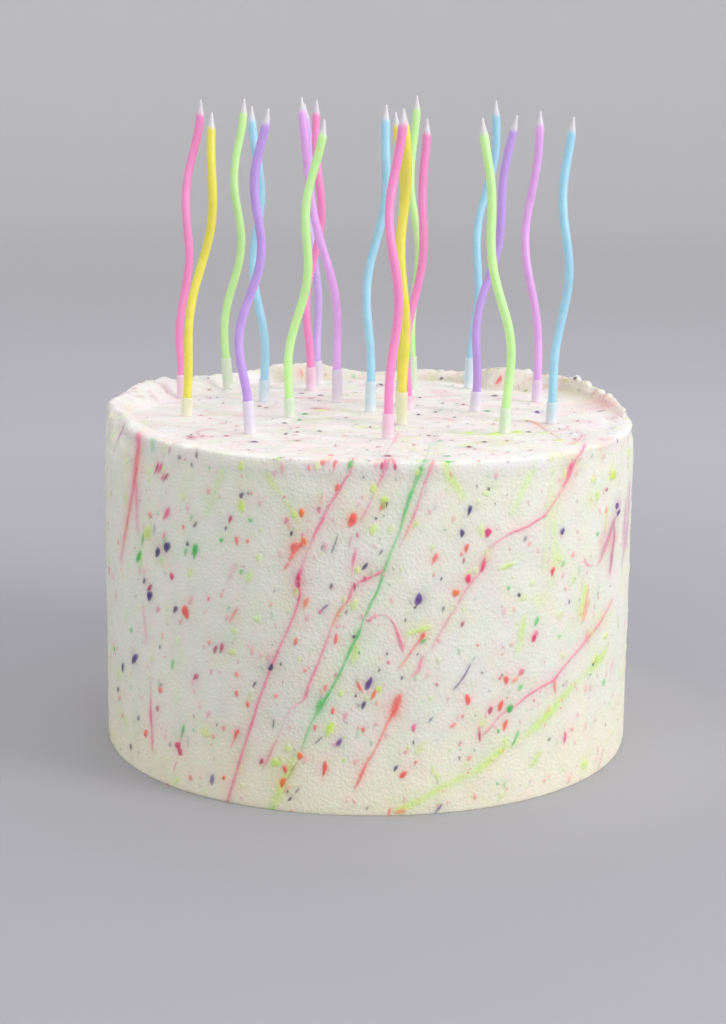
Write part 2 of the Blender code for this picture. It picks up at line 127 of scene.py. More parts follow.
# Colour flicked over the icing. A stroke is a line of points: direction in
# degrees, distance up the section in mm, width in mm, strength.
STROKES = (
    ("coral", ((215.6, 130, 1.4, 0.8), (215.2, 122, 1.7, 0.9), (214.2, 114, 1.6, 0.9), (212, 104, 1.1, 0.9), (210.8, 98.5, 1.2, 0.9), (208.8, 89.5, 1, 0.6), (206.2, 78, 0.9, 0.25))),
    ("pink", ((214.6, 113, 0.9, 0.7), (214.8, 105, 0.8, 0.6), (214.6, 98, 0.7, 0.5), (215, 92.5, 0.7, 0.3))),
    ("pink", ((216.8, 68, 1, 0.2), (217.6, 58.5, 1, 0.35), (218.2, 52.5, 0.9, 0.2))),
    ("pink", ((219.6, 41.5, 0.9, 0.15), (219.6, 34.5, 0.5, 0.4), (219.6, 28, 1, 0.9), (219.6, 24.5, 1.4, 1), (220, 20, 1, 0.8), (220, 14.5, 0.8, 0.7), (220.2, 10.5, 0.6, 0.5))),
    ("green", ((230.4, 27, 1, 0.9), (229.8, 23.5, 1, 0.9), (229.2, 20.5, 0.8, 0.8))),
    ("pink", ((228.2, 12, 0.9, 0.5), (227.6, 10, 0.9, 0.5), (227, 7, 0.7, 0.4))),
    ("coral", ((244.2, 30, 1.7, 1), (243.4, 28, 1.4, 1), (242.8, 25, 0.7, 0.7), (242, 22, 0.4, 0.6))),
    ("pink", ((267.4, 151.5, 0.7, 0.5), (266.8, 129, 1, 0.6), (265.6, 124, 1, 0.6), (264.4, 120, 1.4, 0.8), (262.2, 113.5, 1.4, 0.7), (261, 108.5, 1.4, 0.75), (259.8, 104.5, 1.2, 0.7), (259, 100.5, 1, 0.5), (257.8, 95, 1, 0.3), (257, 90.5, 1.4, 0.8), (256.2, 86, 2.2, 1), (256.8, 82.5, 1.4, 1), (256.2, 77, 1.1, 0.7), (255, 71, 1.2, 0.7), (252.8, 62, 1.2, 0.7), (251, 54.5, 1.2, 0.7), (249, 44.5, 1.2, 0.7), (247.2, 34.5, 1.3, 0.75), (244.8, 21, 1.3, 0.7), (243, 11, 1.3, 0.7), (241.6, 3, 1.2, 0.6), (240.6, -1.5, 1.2, 0.7))),
    ("green", ((267.2, 130.5, 1, 0.9), (266.4, 128, 1.2, 0.9), (265.8, 126.5, 0.7, 0.6))),
    ("pink", ((252, 27.5, 0.8, 0.4), (250.8, 22, 0.9, 0.5), (249.2, 16, 0.8, 0.4))),
    ("coral", ((257.8, 101, 1.2, 0.7), (257, 100, 1.7, 1), (256.2, 98.5, 1.7, 0.9), (255.4, 97, 1.7, 1), (255, 95.5, 1, 0.7))),
    ("coral", ((254.8, 93.5, 1.2, 0.7), (254.2, 92, 1.4, 0.7), (253.4, 90, 1, 0.5))),
    ("pink", ((267, 104.5, 1, 0.5), (266.6, 101.5, 1, 0.4), (266.4, 98.5, 0.9, 0.25))),
    ("pink", ((267.8, 99.5, 1, 0.7), (267.4, 96.5, 1.2, 0.8), (267.2, 93.5, 0.9, 0.6), (267, 89, 0.7, 0.4))),
    ("pink", ((273.6, 93, 0.9, 0.6), (272.6, 91, 1.2, 0.7), (271, 89.5, 1.4, 0.8), (269.4, 88, 1.3, 0.8), (268, 87, 1, 0.6), (267.2, 85, 1.4, 0.8), (266.4, 81, 1.2, 0.7), (265.4, 78.5, 1.2, 0.6))),
    ("orange", ((265.8, 79.5, 1, 0.4), (264.8, 77, 1.2, 0.6), (264, 74, 1.2, 0.6), (263, 70, 1.2, 0.5))),
    ("pink", ((263.2, 71, 1.2, 0.5), (262.2, 65.5, 1.2, 0.6), (261, 59.5, 1.2, 0.7), (259.6, 53, 1.2, 0.75), (258.8, 49.5, 1.4, 0.7), (258.2, 45.5, 1.4, 0.75), (257.6, 43.5, 1, 0.5), (255.2, 40, 1, 0.3), (253.6, 33.5, 0.8, 0.2), (251.8, 26, 0.9, 0.4), (250.6, 21.5, 0.9, 0.4), (249.2, 17, 0.8, 0.3))),
    ("pink", ((285.8, 193, 0.7, 0.3), (276.8, 163.5, 1, 0.5), (274.6, 148, 1.7, 0.9), (273, 127.5, 1.2, 0.8), (272.2, 123.5, 1, 0.5), (271.2, 119, 1, 0.3), (269.6, 112.5, 1, 0.35), (268.4, 108.5, 0.9, 0.2))),
    ("pink", ((275, 148, 1, 0.8), (274.8, 128, 1, 0.8))),
    ("lime", ((271.4, 121, 1.4, 0.5), (271, 117.5, 1.4, 0.4))),
    ("lime", ((249.8, 125, 1.4, 0.4), (250.6, 122, 1.7, 0.6), (252.2, 118.5, 1.2, 0.4), (253.6, 115.5, 0.9, 0.25), (255.2, 111.5, 1.4, 0.5), (256.8, 107.5, 1.7, 0.4))),
    ("purple", ((262.6, 79, 0.8, 0.7), (261.6, 77.5, 0.6, 0.7), (260.6, 75, 1, 0.9))),
    ("dark", ((264.2, 104, 0.6, 0.7), (263.6, 100.5, 0.4, 0.6), (263, 97, 0.7, 0.7))),
    ("green", ((305.4, 189.5, 0.7, 0.3), (289.4, 165, 1.2, 0.6), (280.8, 130, 1.4, 0.7), (279.8, 126, 1.6, 0.8), (277.6, 115.5, 1.4, 0.8), (276.2, 106, 1.2, 0.6), (274.6, 98.5, 1, 0.45), (273.6, 93.5, 1.2, 0.7), (272.2, 85.5, 1.2, 0.8), (270.6, 79, 1.2, 0.85), (269.4, 74, 1, 0.6), (268.4, 68.5, 1.2, 0.8), (267.2, 64, 1.4, 0.9), (265.8, 58, 1.2, 0.8), (264.4, 52.5, 1.2, 0.85), (262.6, 46, 1.2, 0.85), (261, 41, 1.4, 0.9), (259.4, 35.5, 1, 0.5), (258, 28.5, 0.9, 0.6), (257.4, 24.5, 0.8, 0.5))),
    ("lime", ((268.2, 65.5, 1.4, 0.4), (267.8, 61.5, 1.9, 0.7), (267.4, 56.5, 1.4, 0.35))),
    ("lime", ((256.4, 24, 2.4, 0.35), (254.5, 16, 2.8, 0.5), (253, 10.5, 2.6, 0.45), (251.6, 4, 2.4, 0.35))),
    ("green", ((261.6, 45, 1.6, 0.5), (261, 42, 3.4, 0.85), (260.4, 39, 1.4, 0.5))),
    ("coral", ((276.9, 47, 1.6, 0.6), (276.4, 45, 4.2, 0.95), (275.7, 41.5, 2.6, 0.8), (274.8, 37, 1.2, 0.5))),
    ("pink", ((315.2, 126, 1.2, 0.5), (314.6, 123.2, 2.8, 0.9), (313.6, 119.5, 2.2, 0.75), (312, 116, 1.2, 0.5))),
    ("olive", ((256.6, 20.5, 1, 0.6), (255.4, 17, 0.9, 0.6), (254.2, 12.5, 1.2, 0.5))),
    ("lime", ((253.8, 10.5, 1.4, 0.6), (252.6, 6, 1.5, 0.6), (251.2, 0.5, 1.5, 0.7))),
    ("green", ((251.6, 2.5, 0.9, 0.6), (251, -1, 1.2, 0.8), (250.6, -3.5, 1.4, 0.8))),
    ("pink", ((287.6, 153.5, 1.2, 0.6), (281.8, 126.5, 1.4, 0.6), (280.6, 121, 1, 0.5), (279.4, 113.5, 1.2, 0.55), (278.4, 109, 1.1, 0.6), (277.4, 105, 1, 0.4), (276.2, 99.5, 1, 0.2))),
    ("orange", ((278.4, 108, 1.1, 0.4), (277, 103, 1.1, 0.4))),
    ("lime", ((287.2, 147.5, 1.4, 0.4), (285, 127.5, 1.6, 0.45), (287, 120.5, 1.4, 0.35), (289.2, 115, 1, 0.3))),
    ("pink", ((269.8, 74, 1, 0.7), (270.4, 73.5, 1.6, 0.9), (271.4, 75, 0.9, 0.6), (273.6, 75.5, 0.6, 0.4), (275, 73, 0.8, 0.6), (275.8, 70, 1, 0.8), (276.6, 65, 1.6, 0.95), (277.2, 61.5, 1, 0.5))),
    ("coral", ((281.4, 69.5, 1.7, 1), (280.6, 66.5, 1.7, 0.9), (279.6, 64.5, 1, 0.6), (278.6, 61.5, 1, 0.6), (277.4, 58.5, 0.8, 0.5), (276, 55, 0.7, 0.4))),
    ("green", ((280.2, 65, 1.4, 0.9), (281.2, 66, 1.6, 1), (281.8, 66.5, 1, 0.8))),
    ("pink", ((281.4, 61, 1.4, 0.4), (280.6, 58, 1.6, 0.55), (280.2, 55, 1.7, 0.5), (278.2, 52, 1, 0.25))),
    ("lime", ((277, 68, 1, 0.4), (278.8, 69, 1.7, 0.6), (280.6, 70, 1, 0.3))),
    ("coral", ((276.4, 43.5, 1.7, 1), (275.8, 41, 2.6, 1), (275, 38.5, 1.4, 1), (273.8, 34, 1, 0.8), (272.6, 28.5, 0.9, 0.7), (271.4, 24.5, 0.9, 0.6), (270.2, 21, 1.2, 0.8), (269.2, 16, 1.4, 0.9), (268.6, 13.5, 1.2, 0.85), (268, 11, 0.9, 0.7))),
    ("coral", ((268, 52.5, 1, 0.8), (268.6, 49.5, 1.7, 1), (269.4, 47, 0.9, 0.7))),
    ("purple", ((291, 56.5, 0.6, 0.75), (289.8, 52.5, 0.6, 0.75), (288.6, 49.5, 0.7, 0.8), (287.4, 47, 0.8, 0.8))),
    ("purple", ((292, 58.5, 0.6, 0.6), (291.2, 57, 0.6, 0.7))),
    ("purple", ((283.4, 38, 0.8, 0.75), (282.4, 35.5, 0.9, 0.8))),
    ("green", ((302.4, 29, 0.8, 0.9), (301.6, 25.5, 1, 0.9), (300.6, 23, 1, 0.9))),
    ("magenta", ((263.4, 27.5, 1, 0.7), (264.4, 28, 1.4, 0.8))),
    ("purple", ((265.4, 30.5, 0.9, 0.9), (264.8, 28.5, 1.4, 1), (264.2, 27, 1, 0.9))),
    ("dark", ((261.6, 30.5, 0.6, 0.7), (260.8, 29, 0.4, 0.6), (260, 27.5, 1, 0.9))),
    ("coral", ((275.2, 4.5, 1, 0.8), (274.8, 2, 1, 0.8), (274.6, 0.5, 0.9, 0.8))),
    ("pink", ((341.8, 146, 0.5, 0.3), (330.8, 142, 0.8, 0.6), (317.6, 128, 1, 0.7), (316, 125, 0.9, 0.6), (314.6, 122.5, 1.4, 0.85), (313.6, 119, 1.2, 0.8), (311.4, 114.5, 0.8, 0.5), (309.6, 111, 1, 0.6), (307.6, 107.5, 1, 0.7), (305, 105.5, 1, 0.65), (302.6, 104, 1, 0.65), (299, 102.5, 1, 0.65), (295.6, 99.5, 0.8, 0.55), (294.2, 97.5, 0.8, 0.4))),
    ("orange", ((312, 115.5, 0.8, 0.4), (310.4, 112.5, 0.8, 0.45))),
    ("lime", ((294.4, 98, 1.2, 0.6), (293.6, 95, 1.2, 0.5))),
    ("magenta", ((294, 96, 0.9, 0.5), (293.4, 93.5, 1.7, 0.95), (293, 90.5, 1.9, 1), (292.4, 89, 1, 0.8))),
    ("pink", ((292.4, 89, 1, 0.7), (291.2, 87, 1, 0.6), (290, 84.5, 1, 0.4), (289, 82, 1, 0.35), (287.6, 77, 1, 0.35), (286.2, 73.5, 1.1, 0.5), (285.2, 70.5, 1.2, 0.5), (283.8, 66, 1, 0.3), (282.8, 62, 0.9, 0.2))),
    ("lime", ((287, 78, 1.4, 0.5), (286.2, 76, 1.4, 0.4))),
    ("pink", ((333.8, 67.5, 0.8, 0.5), (329.6, 63, 0.9, 0.5), (327.4, 60.5, 1, 0.6), (323.2, 57.5, 1, 0.6), (319.6, 54, 1, 0.6), (316.2, 51, 1, 0.6), (313.2, 47.5, 1, 0.65), (311.6, 45, 0.9, 0.6), (309.2, 44, 1, 0.65), (306.4, 42.5, 1.2, 0.75), (304, 41, 1.2, 0.75), (302, 39, 1, 0.6), (300, 37.5, 0.8, 0.5), (297.8, 35.5, 1, 0.6), (295.6, 31.5, 1, 0.6), (293.8, 29, 1, 0.7))),
    ("coral", ((311.6, 46.5, 0.8, 0.6), (311.6, 43, 1, 0.8), (312.2, 39, 0.8, 0.5))),
    ("magenta", ((293.2, 33, 0.7, 0.6), (293.2, 29, 1.2, 0.95), (293.4, 26.5, 0.9, 0.9))),
    ("lime", ((332.6, 50, 1.7, 0.35), (329.4, 47, 2.4, 0.6), (326.2, 45, 2.1, 0.5), (321, 43, 1.4, 0.25), (316.6, 39.5, 2.1, 0.4), (313, 35.5, 2.8, 0.5), (308.8, 31, 3.1, 0.55), (305.8, 27.5, 2.4, 0.35), (302, 24.5, 1.7, 0.3), (298, 22, 2.4, 0.4), (295.2, 18.5, 2.8, 0.55), (291.4, 15, 2.4, 0.4), (287.2, 12.5, 2.4, 0.45), (283.4, 9, 2.4, 0.45), (280.2, 6, 2.1, 0.5), (277.4, 4, 1.7, 0.6), (275.8, 3, 1.7, 0.6))),
    ("orange", ((278.4, 3.5, 1.4, 0.6), (277, 3, 1.7, 0.7), (275.8, 2.5, 1, 0.5))),
    ("lime", ((308.2, 19.5, 1.7, 0.5), (306.8, 16, 2.4, 0.6), (305.6, 13.5, 1.7, 0.4))),
    ("purple", ((285.6, 5, 0.9, 0.8), (284.8, 3, 1, 0.8), (283.8, 1, 0.6, 0.5))),
    ("pink", ((334.4, 99.5, 1, 0.5), (331.6, 95, 1.2, 0.6), (329.8, 90.5, 1, 0.5), (327.6, 86.5, 1, 0.5), (325.4, 83.5, 0.9, 0.5))),
    ("pink", ((332.8, 94, 0.8, 0.6), (332.8, 89.5, 0.8, 0.6), (332, 84, 0.9, 0.7), (331.6, 77.5, 0.9, 0.7))),
    ("pink", ((323.8, 84, 0.7, 0.4), (321.4, 85, 0.9, 0.5), (319.8, 88, 0.7, 0.5))),
    ("lavender", ((342, 103.5, 1.4, 0.5), (341.4, 94, 2.1, 0.6), (341.4, 84, 2.1, 0.5), (339.8, 77, 1.4, 0.3))),
    ("orange", ((322.6, 72, 0.9, 0.5), (321.2, 67, 0.9, 0.5), (319.6, 63, 0.9, 0.4))),
    ("coral", ((336.2, 43, 0.7, 0.5), (335.2, 40.5, 0.8, 0.5), (334.4, 37.5, 0.7, 0.4))),
    ("pink", ((328.6, 12, 0.7, 0.5), (328.4, 8.5, 0.6, 0.4), (327, 5, 0.6, 0.4))),
    ("pink", ((332, 9.5, 0.6, 0.3), (330, 5, 0.7, 0.35), (328.2, 1, 0.6, 0.3))),
    ("lime", ((240.4, 124.5, 1.4, 0.3), (239.2, 119, 1.4, 0.3), (237.6, 112, 1.4, 0.25), (236.2, 106, 1.4, 0.3))),
    ("coral", ((243.8, 75, 0.8, 0.5), (242.8, 72, 1, 0.6), (241.8, 68.5, 0.9, 0.5))),
    ("pink", ((243.4, 91.5, 0.8, 0.3), (242.4, 87, 0.9, 0.3), (241, 83, 0.8, 0.2))),
    ("lime", ((310.2, 122, 1.4, 0.2), (308.6, 110, 1.7, 0.25), (308, 95, 1.7, 0.25), (307.8, 84, 1.4, 0.15))),
    ("lime", ((303, 72, 1.4, 0.35), (302.6, 67, 2.4, 0.55), (302.2, 62.5, 1.7, 0.4), (301.2, 56.5, 1.7, 0.25))),
    ("pink", ((214, 132, 4.2, 0.45), (215, 127, 3, 0.62), (214.5, 121.5, 2, 0.5), (214, 115, 2.6, 0.5), (212, 103.5, 1.8, 0.55), (208.5, 90, 1.6, 0.4), (205.5, 79, 1.4, 0.2))),
    ("pink", ((214, 114.5, 1.4, 0.4), (214.5, 109, 1.4, 0.42), (215, 100.5, 1.3, 0.36), (215, 92.5, 1.2, 0.2))),
    ("mauve", ((202, 128.5, 2, 0.3), (200, 126, 2.6, 0.5), (202, 124, 1.8, 0.3))),
    ("green", ((219.5, 132, 1.6, 0.2), (221, 128, 2.2, 0.34), (221, 125.5, 1.6, 0.2))),
    ("lime", ((304.5, 125, 3.2, 0.22), (302, 118, 3.4, 0.26), (299, 109, 3, 0.16))),
    ("lime", ((309.5, 113, 3, 0.15), (310.5, 97.5, 3.4, 0.24), (310, 79, 3, 0.16))),
    ("lime", ((321, 78.5, 2.4, 0.4), (320, 72, 2.8, 0.55), (319, 65, 2.4, 0.4))),
    ("coral", ((322, 77, 1.2, 0.4), (321, 70.5, 1.4, 0.55), (320, 65, 1.1, 0.4))),
    ("mauve", ((333.5, 99, 2, 0.5), (332.5, 97, 2.2, 0.55), (328.5, 90, 1.5, 0.45), (326, 85, 1.2, 0.3))),
    ("mauve", ((332.5, 97, 1.6, 0.4), (333.5, 92, 1.7, 0.6), (332.5, 86, 1.5, 0.6), (331.5, 78.5, 1.4, 0.6))),
    ("lavender", ((345.5, 109, 3.6, 0.2), (346, 99, 4.2, 0.42), (344, 90, 4, 0.36), (343, 82.5, 3, 0.2))),
    ("mauve", ((274.4, 138, 2, 0.4), (273.5, 129, 1.8, 0.55), (273, 126.5, 1.3, 0.45))),
    ("green", ((284, 144, 1, 0.2), (282.5, 136, 1.1, 0.3), (280.5, 128.5, 1.4, 0.45))),
    ("lime", ((285.6, 135, 2, 0.35), (285, 127.5, 2, 0.4), (286.5, 123.5, 2.2, 0.42), (289, 116, 2.4, 0.3))),
)
# Droplets: direction, distance up the section, length, width, slant, strength.
DROPS = (
    ("wine", 222.3, 120, 5.2, 1.3, 66, 0.75),
    ("pink", 223.5, 120.5, 5.4, 1.2, 62, 0.8),
    ("pink", 224.4, 117.6, 2.6, 1.2, 60, 0.7),
    ("wine", 225.3, 117.8, 3.6, 1.2, 58, 0.75),
    ("coral", 220, 102, 2.2, 2.3, 90, 0.6),
    ("pink", 225.5, 104.5, 5.9, 2, 65, 0.8),
    ("lime", 219, 95, 6.6, 3.5, 70, 0.5),
    ("green", 217, 92, 5.9, 1.2, 80, 0.6),
    ("green", 215.5, 85, 6, 2.3, 65, 0.9),
    ("indigo", 225.5, 92, 4.4, 2.8, 70, 1),
    ("indigo", 222.5, 89, 4.2, 2.1, 65, 1),
    ("green", 233.5, 93, 5.8, 2.2, 75, 0.95),
    ("green", 231, 92, 3.1, 1.2, 75, 0.5),
    ("dark", 231.5, 95, 1.5, 1.5, 90, 0.9),
    ("magenta", 227, 81.5, 2.7, 2.1, 80, 0.9),
    ("magenta", 219.5, 74.5, 3.7, 1.7, 50, 0.9),
    ("indigo", 219.5, 71.5, 3.9, 2.9, 80, 1),
    ("dark", 228, 69.5, 3, 1.6, 65, 0.9),
    ("coral", 231, 69.5, 4.8, 3.3, 95, 1),
    ("coral", 229.5, 65.5, 2.6, 0.9, 65, 0.5),
    ("pink", 222.5, 67.5, 2.9, 1.5, 55, 0.6),
    ("dark", 244.5, 115.5, 2.6, 1.5, 70, 0.8),
    ("lime", 244.5, 111.5, 4.3, 2.4, 95, 0.7),
    ("magenta", 242, 106.5, 3.1, 1.3, 65, 0.9),
    ("dark", 241, 103, 1.5, 1, 75, 0.8),
    ("green", 240, 98.5, 1.8, 1.7, 90, 0.8),
    ("green", 246.5, 107, 1.6, 1.8, 90, 0.7),
    ("coral", 243.5, 99, 3.3, 1.6, 90, 0.7),
    ("green", 244.5, 88, 1.9, 1.6, 80, 0.6),
    ("lime", 244.5, 126, 3.2, 2.4, 85, 0.5),
    ("coral", 240, 78.5, 1.9, 1.4, 80, 0.4),
    ("dark", 233.5, 102.5, 2.5, 1.1, 60, 0.7),
    ("green", 232.5, 105, 2.7, 1.1, 75, 0.5),
    ("dark", 217.5, 76.5, 2.3, 1.5, 65, 0.8),
    ("coral", 217.5, 80, 1.7, 1.2, 70, 0.3),
    ("pink", 254, 108, 2.9, 1.6, 65, 0.7),
    ("dark", 255, 103.5, 1.8, 1.2, 80, 0.95),
    ("orange", 257, 111, 3.2, 2.1, 85, 1),
    ("lime", 255.5, 110.5, 2.5, 1.8, 85, 0.6),
    ("pink", 260.5, 112, 1.4, 1.3, 90, 0.6),
    ("coral", 262.5, 132, 1.4, 1, 90, 0.6),
    ("coral", 263.5, 128.5, 3.5, 1.4, 80, 0.7),
    ("coral", 261.5, 128.5, 1.8, 1, 80, 0.6),
    ("coral", 258.5, 127, 1.4, 1.2, 90, 0.6),
    ("lime", 260, 127.5, 2.1, 2.5, 90, 0.3),
    ("lime", 262, 131, 2.1, 2.8, 90, 0.3),
    ("dark", 252.5, 130, 1.2, 1.3, 90, 0.8),
    ("dark", 269, 124.5, 0.9, 0.8, 90, 0.7),
    ("dark", 270, 130, 1, 1, 90, 0.8),
    ("coral", 267, 109.5, 6, 2.9, 75, 1),
    ("pink", 268, 104, 1.8, 1.2, 90, 0.7),
    ("olive", 273, 115, 3.5, 2.1, 65, 0.7),
    ("lime", 273, 116.5, 3.1, 2.4, 65, 0.6),
    ("orange", 272.5, 114, 2.8, 1, 70, 0.8),
    ("dark", 273.5, 115, 1.8, 0.9, 80, 0.8),
    ("dark", 271.5, 110, 1.1, 1, 90, 0.8),
    ("lime", 271, 106, 4.3, 2.8, 80, 0.4),
    ("purple", 272.5, 98, 2.1, 0.9, 60, 0.7),
    ("purple", 269.5, 93, 3.2, 1.3, 55, 0.9),
    ("lime", 268, 91.5, 2.9, 2.1, 80, 0.4),
    ("magenta", 269.5, 88.5, 1.6, 1.4, 90, 0.8),
    ("magenta", 267.5, 85.5, 2.5, 1.3, 90, 0.9),
    ("dark", 263, 85.5, 2.2, 1.1, 75, 0.8),
    ("dark", 266, 76.5, 1.8, 0.9, 70, 0.6),
    ("lime", 267.5, 79, 4.3, 2.4, 80, 0.3),
    ("orange", 258, 79, 4, 1.8, 75, 0.7),
    ("coral", 251, 77.5, 1.5, 1.1, 80, 0.5),
    ("lime", 248, 71.5, 2.2, 3.1, 90, 0.3),
    ("purple", 280, 81, 4.6, 2.7, 70, 1),
    ("purple", 279.5, 78.5, 2.1, 0.9, 60, 0.8),
    ("magenta", 294, 103.5, 3.5, 2.6, 65, 1),
    ("purple", 290, 112, 3.3, 1.6, 75, 1),
    ("purple", 288.5, 104, 3, 1.6, 85, 1),
    ("coral", 289.5, 98.5, 3.2, 1.6, 85, 0.9),
    ("coral", 288.5, 96.5, 1.8, 1.3, 90, 0.5),
    ("magenta", 289, 94, 2.1, 0.9, 75, 0.8),
    ("magenta", 290, 87.5, 3.8, 2.1, 85, 1),
    ("orange", 287.5, 82.5, 3, 2.5, 60, 1),
    ("green", 285.5, 130, 2.5, 2, 90, 1),
    ("green", 286.5, 130.5, 2.1, 2.9, 90, 0.4),
    ("lime", 331.5, 115.5, 3.7, 3.8, 95, 0.85),
    ("purple", 334.5, 103, 2.6, 2.7, 80, 1),
    ("purple", 335.5, 100, 2.6, 2.9, 80, 1),
    ("purple", 312.5, 100, 2.5, 2.2, 80, 1),
    ("magenta", 310, 86, 3.3, 1.9, 80, 0.95),
    ("lime", 298.5, 90.5, 6.3, 1.6, 15, 0.5),
    ("green", 306, 68.5, 3.2, 1.7, 70, 0.8),
    ("dark", 301.5, 79.5, 1.6, 1.3, 90, 0.95),
    ("green", 299, 82.5, 1.6, 1.5, 80, 0.6),
    ("dark", 284.5, 88, 1.3, 0.8, 70, 0.8),
    ("magenta", 289, 71, 2.2, 1.4, 80, 0.8),
    ("dark", 285, 77, 2.2, 0.8, 80, 0.7),
    ("dark", 277.5, 73.5, 1.4, 0.9, 80, 0.7),
    ("lime", 281, 70, 7.1, 1.8, 15, 0.4),
    ("coral", 283, 89.5, 1.4, 1.1, 80, 0.5),
    ("green", 313, 88, 2.5, 1.7, 70, 0.5),
    ("coral", 316, 90.5, 2.2, 1.5, 70, 0.5),
    ("coral", 314, 78.5, 1.5, 1.9, 95, 0.3),
    ("green", 325, 95.5, 1.5, 1.8, 95, 0.6),
    ("lime", 324.5, 109.5, 2.7, 2.3, 95, 0.4),
    ("magenta", 328.5, 111, 1.5, 1.6, 70, 0.8),
    ("dark", 294, 119, 1.3, 1.3, 90, 0.8),
    ("dark", 291.5, 120.5, 1.2, 0.9, 90, 0.5),
    ("lime", 293.5, 117.5, 2.1, 3.1, 90, 0.3),
    ("pink", 295.5, 123.5, 2.5, 1.4, 85, 0.4),
    ("dark", 267.5, 67.5, 1.5, 1.2, 60, 0.9),
    ("coral", 256, 64.5, 2.6, 1.5, 80, 0.85),
    ("coral", 264, 66.5, 3.7, 1.3, 85, 0.85),
    ("purple", 251, 54.5, 3.3, 1.7, 65, 1),
    ("dark", 253, 56, 1.3, 0.9, 70, 0.7),
    ("coral", 258, 54.5, 1.5, 1.3, 90, 0.6),
    ("coral", 252, 44, 1.9, 1.7, 90, 0.6),
    ("coral", 253.5, 49.5, 1.9, 0.9, 80, 0.3),
    ("coral", 262, 48.5, 3.3, 1.4, 70, 0.6),
    ("purple", 270.5, 50.5, 4.9, 2.2, 70, 1),
    ("purple", 269.5, 42.5, 2.9, 1.5, 75, 0.95),
    ("orange", 271.5, 46.5, 4, 1.4, 70, 0.9),
    ("lime", 272.5, 48.5, 2.2, 2.1, 90, 0.7),
    ("dark", 268, 46, 1.3, 0.9, 80, 0.8),
    ("lime", 265, 46.5, 2.6, 1.8, 80, 0.5),
    ("coral", 263.5, 40, 2.6, 1.3, 85, 0.9),
    ("lime", 263, 33.5, 6, 2.3, 70, 0.7),
    ("coral", 260, 33.5, 2.2, 1.4, 85, 0.75),
    ("dark", 251.5, 33.5, 3.2, 0.8, 85, 0.7),
    ("coral", 255, 33, 1.5, 0.9, 80, 0.4),
    ("coral", 269.5, 33.5, 2, 1.6, 65, 0.8),
    ("coral", 268.5, 34, 1.5, 0.8, 80, 0.5),
    ("pink", 272, 35.5, 1.4, 1.8, 30, 0.4),
    ("pink", 279.5, 34, 3.1, 1.5, 75, 0.9),
    ("dark", 279.5, 28.5, 1.5, 0.9, 80, 0.7),
    ("coral", 278, 25, 1.6, 1.3, 60, 0.5),
    ("coral", 280, 21, 1.7, 1.1, 75, 0.7),
    ("coral", 277.5, 16.5, 3.6, 1.9, 45, 0.95),
    ("purple", 276, 19, 2.2, 1.2, 65, 0.95),
    ("coral", 262, 18.5, 5.3, 1.9, 80, 1),
    ("coral", 254, 17, 3.3, 1.8, 110, 0.95),
    ("orange", 257, 22.5, 3, 2.2, 85, 0.95),
    ("orange", 253.5, 12, 3.9, 2.4, 75, 1),
    ("lime", 252, 19, 3.6, 3.3, 60, 0.55),
    ("lime", 254.5, 25, 3.4, 2.6, 80, 0.35),
    ("dark", 255, 6, 2, 1.1, 55, 0.85),
    ("dark", 254.5, 9, 1.9, 0.9, 75, 0.7),
    ("dark", 256.5, 9.5, 2.7, 0.8, 55, 0.6),
    ("magenta", 249, 19, 2.8, 1.4, 70, 0.9),
    ("dark", 253, 0.5, 1.1, 1.1, 90, 0.8),
    ("coral", 266.5, 7, 1.5, 1.1, 90, 0.3),
    ("coral", 268, 6.5, 1.5, 1.2, 90, 0.4),
    ("coral", 255.5, 1.5, 1.9, 1.5, 80, 0.4),
    ("lime", 283.5, 18, 3, 1.1, 85, 0.4),
    ("lime", 284.5, 15, 3.5, 1.5, 105, 0.4),
    ("dark", 274, 61.5, 1.2, 1, 80, 0.7),
    ("dark", 272.5, 55.5, 1.4, 0.9, 80, 0.7),
    ("dark", 277, 52.5, 1.5, 1, 80, 0.7),
    ("dark", 280, 61, 1.1, 0.9, 80, 0.6),
    ("indigo", 213, 44.5, 6, 2.3, 50, 1),
    ("indigo", 206.5, 38, 3.7, 1.8, 80, 0.9),
    ("green", 227, 48.5, 3.6, 1.6, 80, 0.6),
    ("magenta", 233.5, 46, 3.3, 1.7, 55, 0.8),
    ("coral", 223, 37, 2.9, 1.9, 75, 0.75),
    ("magenta", 222, 29.5, 2.4, 1.7, 60, 0.7),
    ("coral", 243.5, 50, 2.1, 1.8, 80, 0.6),
    ("coral", 243.5, 43, 2.3, 1.5, 85, 0.75),
    ("coral", 246, 39.5, 2.2, 1.8, 90, 0.8),
    ("coral", 237, 60, 1.6, 1.4, 90, 0.6),
    ("magenta", 238.5, 58, 3.3, 1.4, 65, 0.8),
    ("magenta", 240, 59, 3.7, 1.5, 75, 0.85),
    ("dark", 247.5, 47.5, 2.4, 1, 60, 0.8),
    ("dark", 223, 53.5, 1.5, 1.4, 75, 0.6),
    ("lime", 236, 26, 4, 3.5, 80, 0.3),
    ("lime", 242.5, 58, 2.7, 3.2, 80, 0.35),
    ("lime", 243, 66, 2.7, 2.8, 80, 0.3),
    ("coral", 240.5, 29, 2.4, 1.5, 80, 0.5),
    ("coral", 238, 25, 1.5, 1.6, 90, 0.5),
    ("dark", 210.5, 8.5, 2.5, 1.6, 85, 0.8),
    ("coral", 232, 7, 2.4, 1.7, 85, 0.6),
    ("magenta", 225, 0.5, 2.5, 1.8, 80, 0.7),
    ("dark", 203, 27.5, 2.7, 1.4, 65, 0.8),
    ("coral", 204, 24.5, 2.7, 1.8, 60, 0.4),
    ("coral", 217.5, 17.5, 3.5, 2.1, 75, 0.8),
    ("magenta", 228.5, 18, 3.4, 2.6, 55, 0.9),
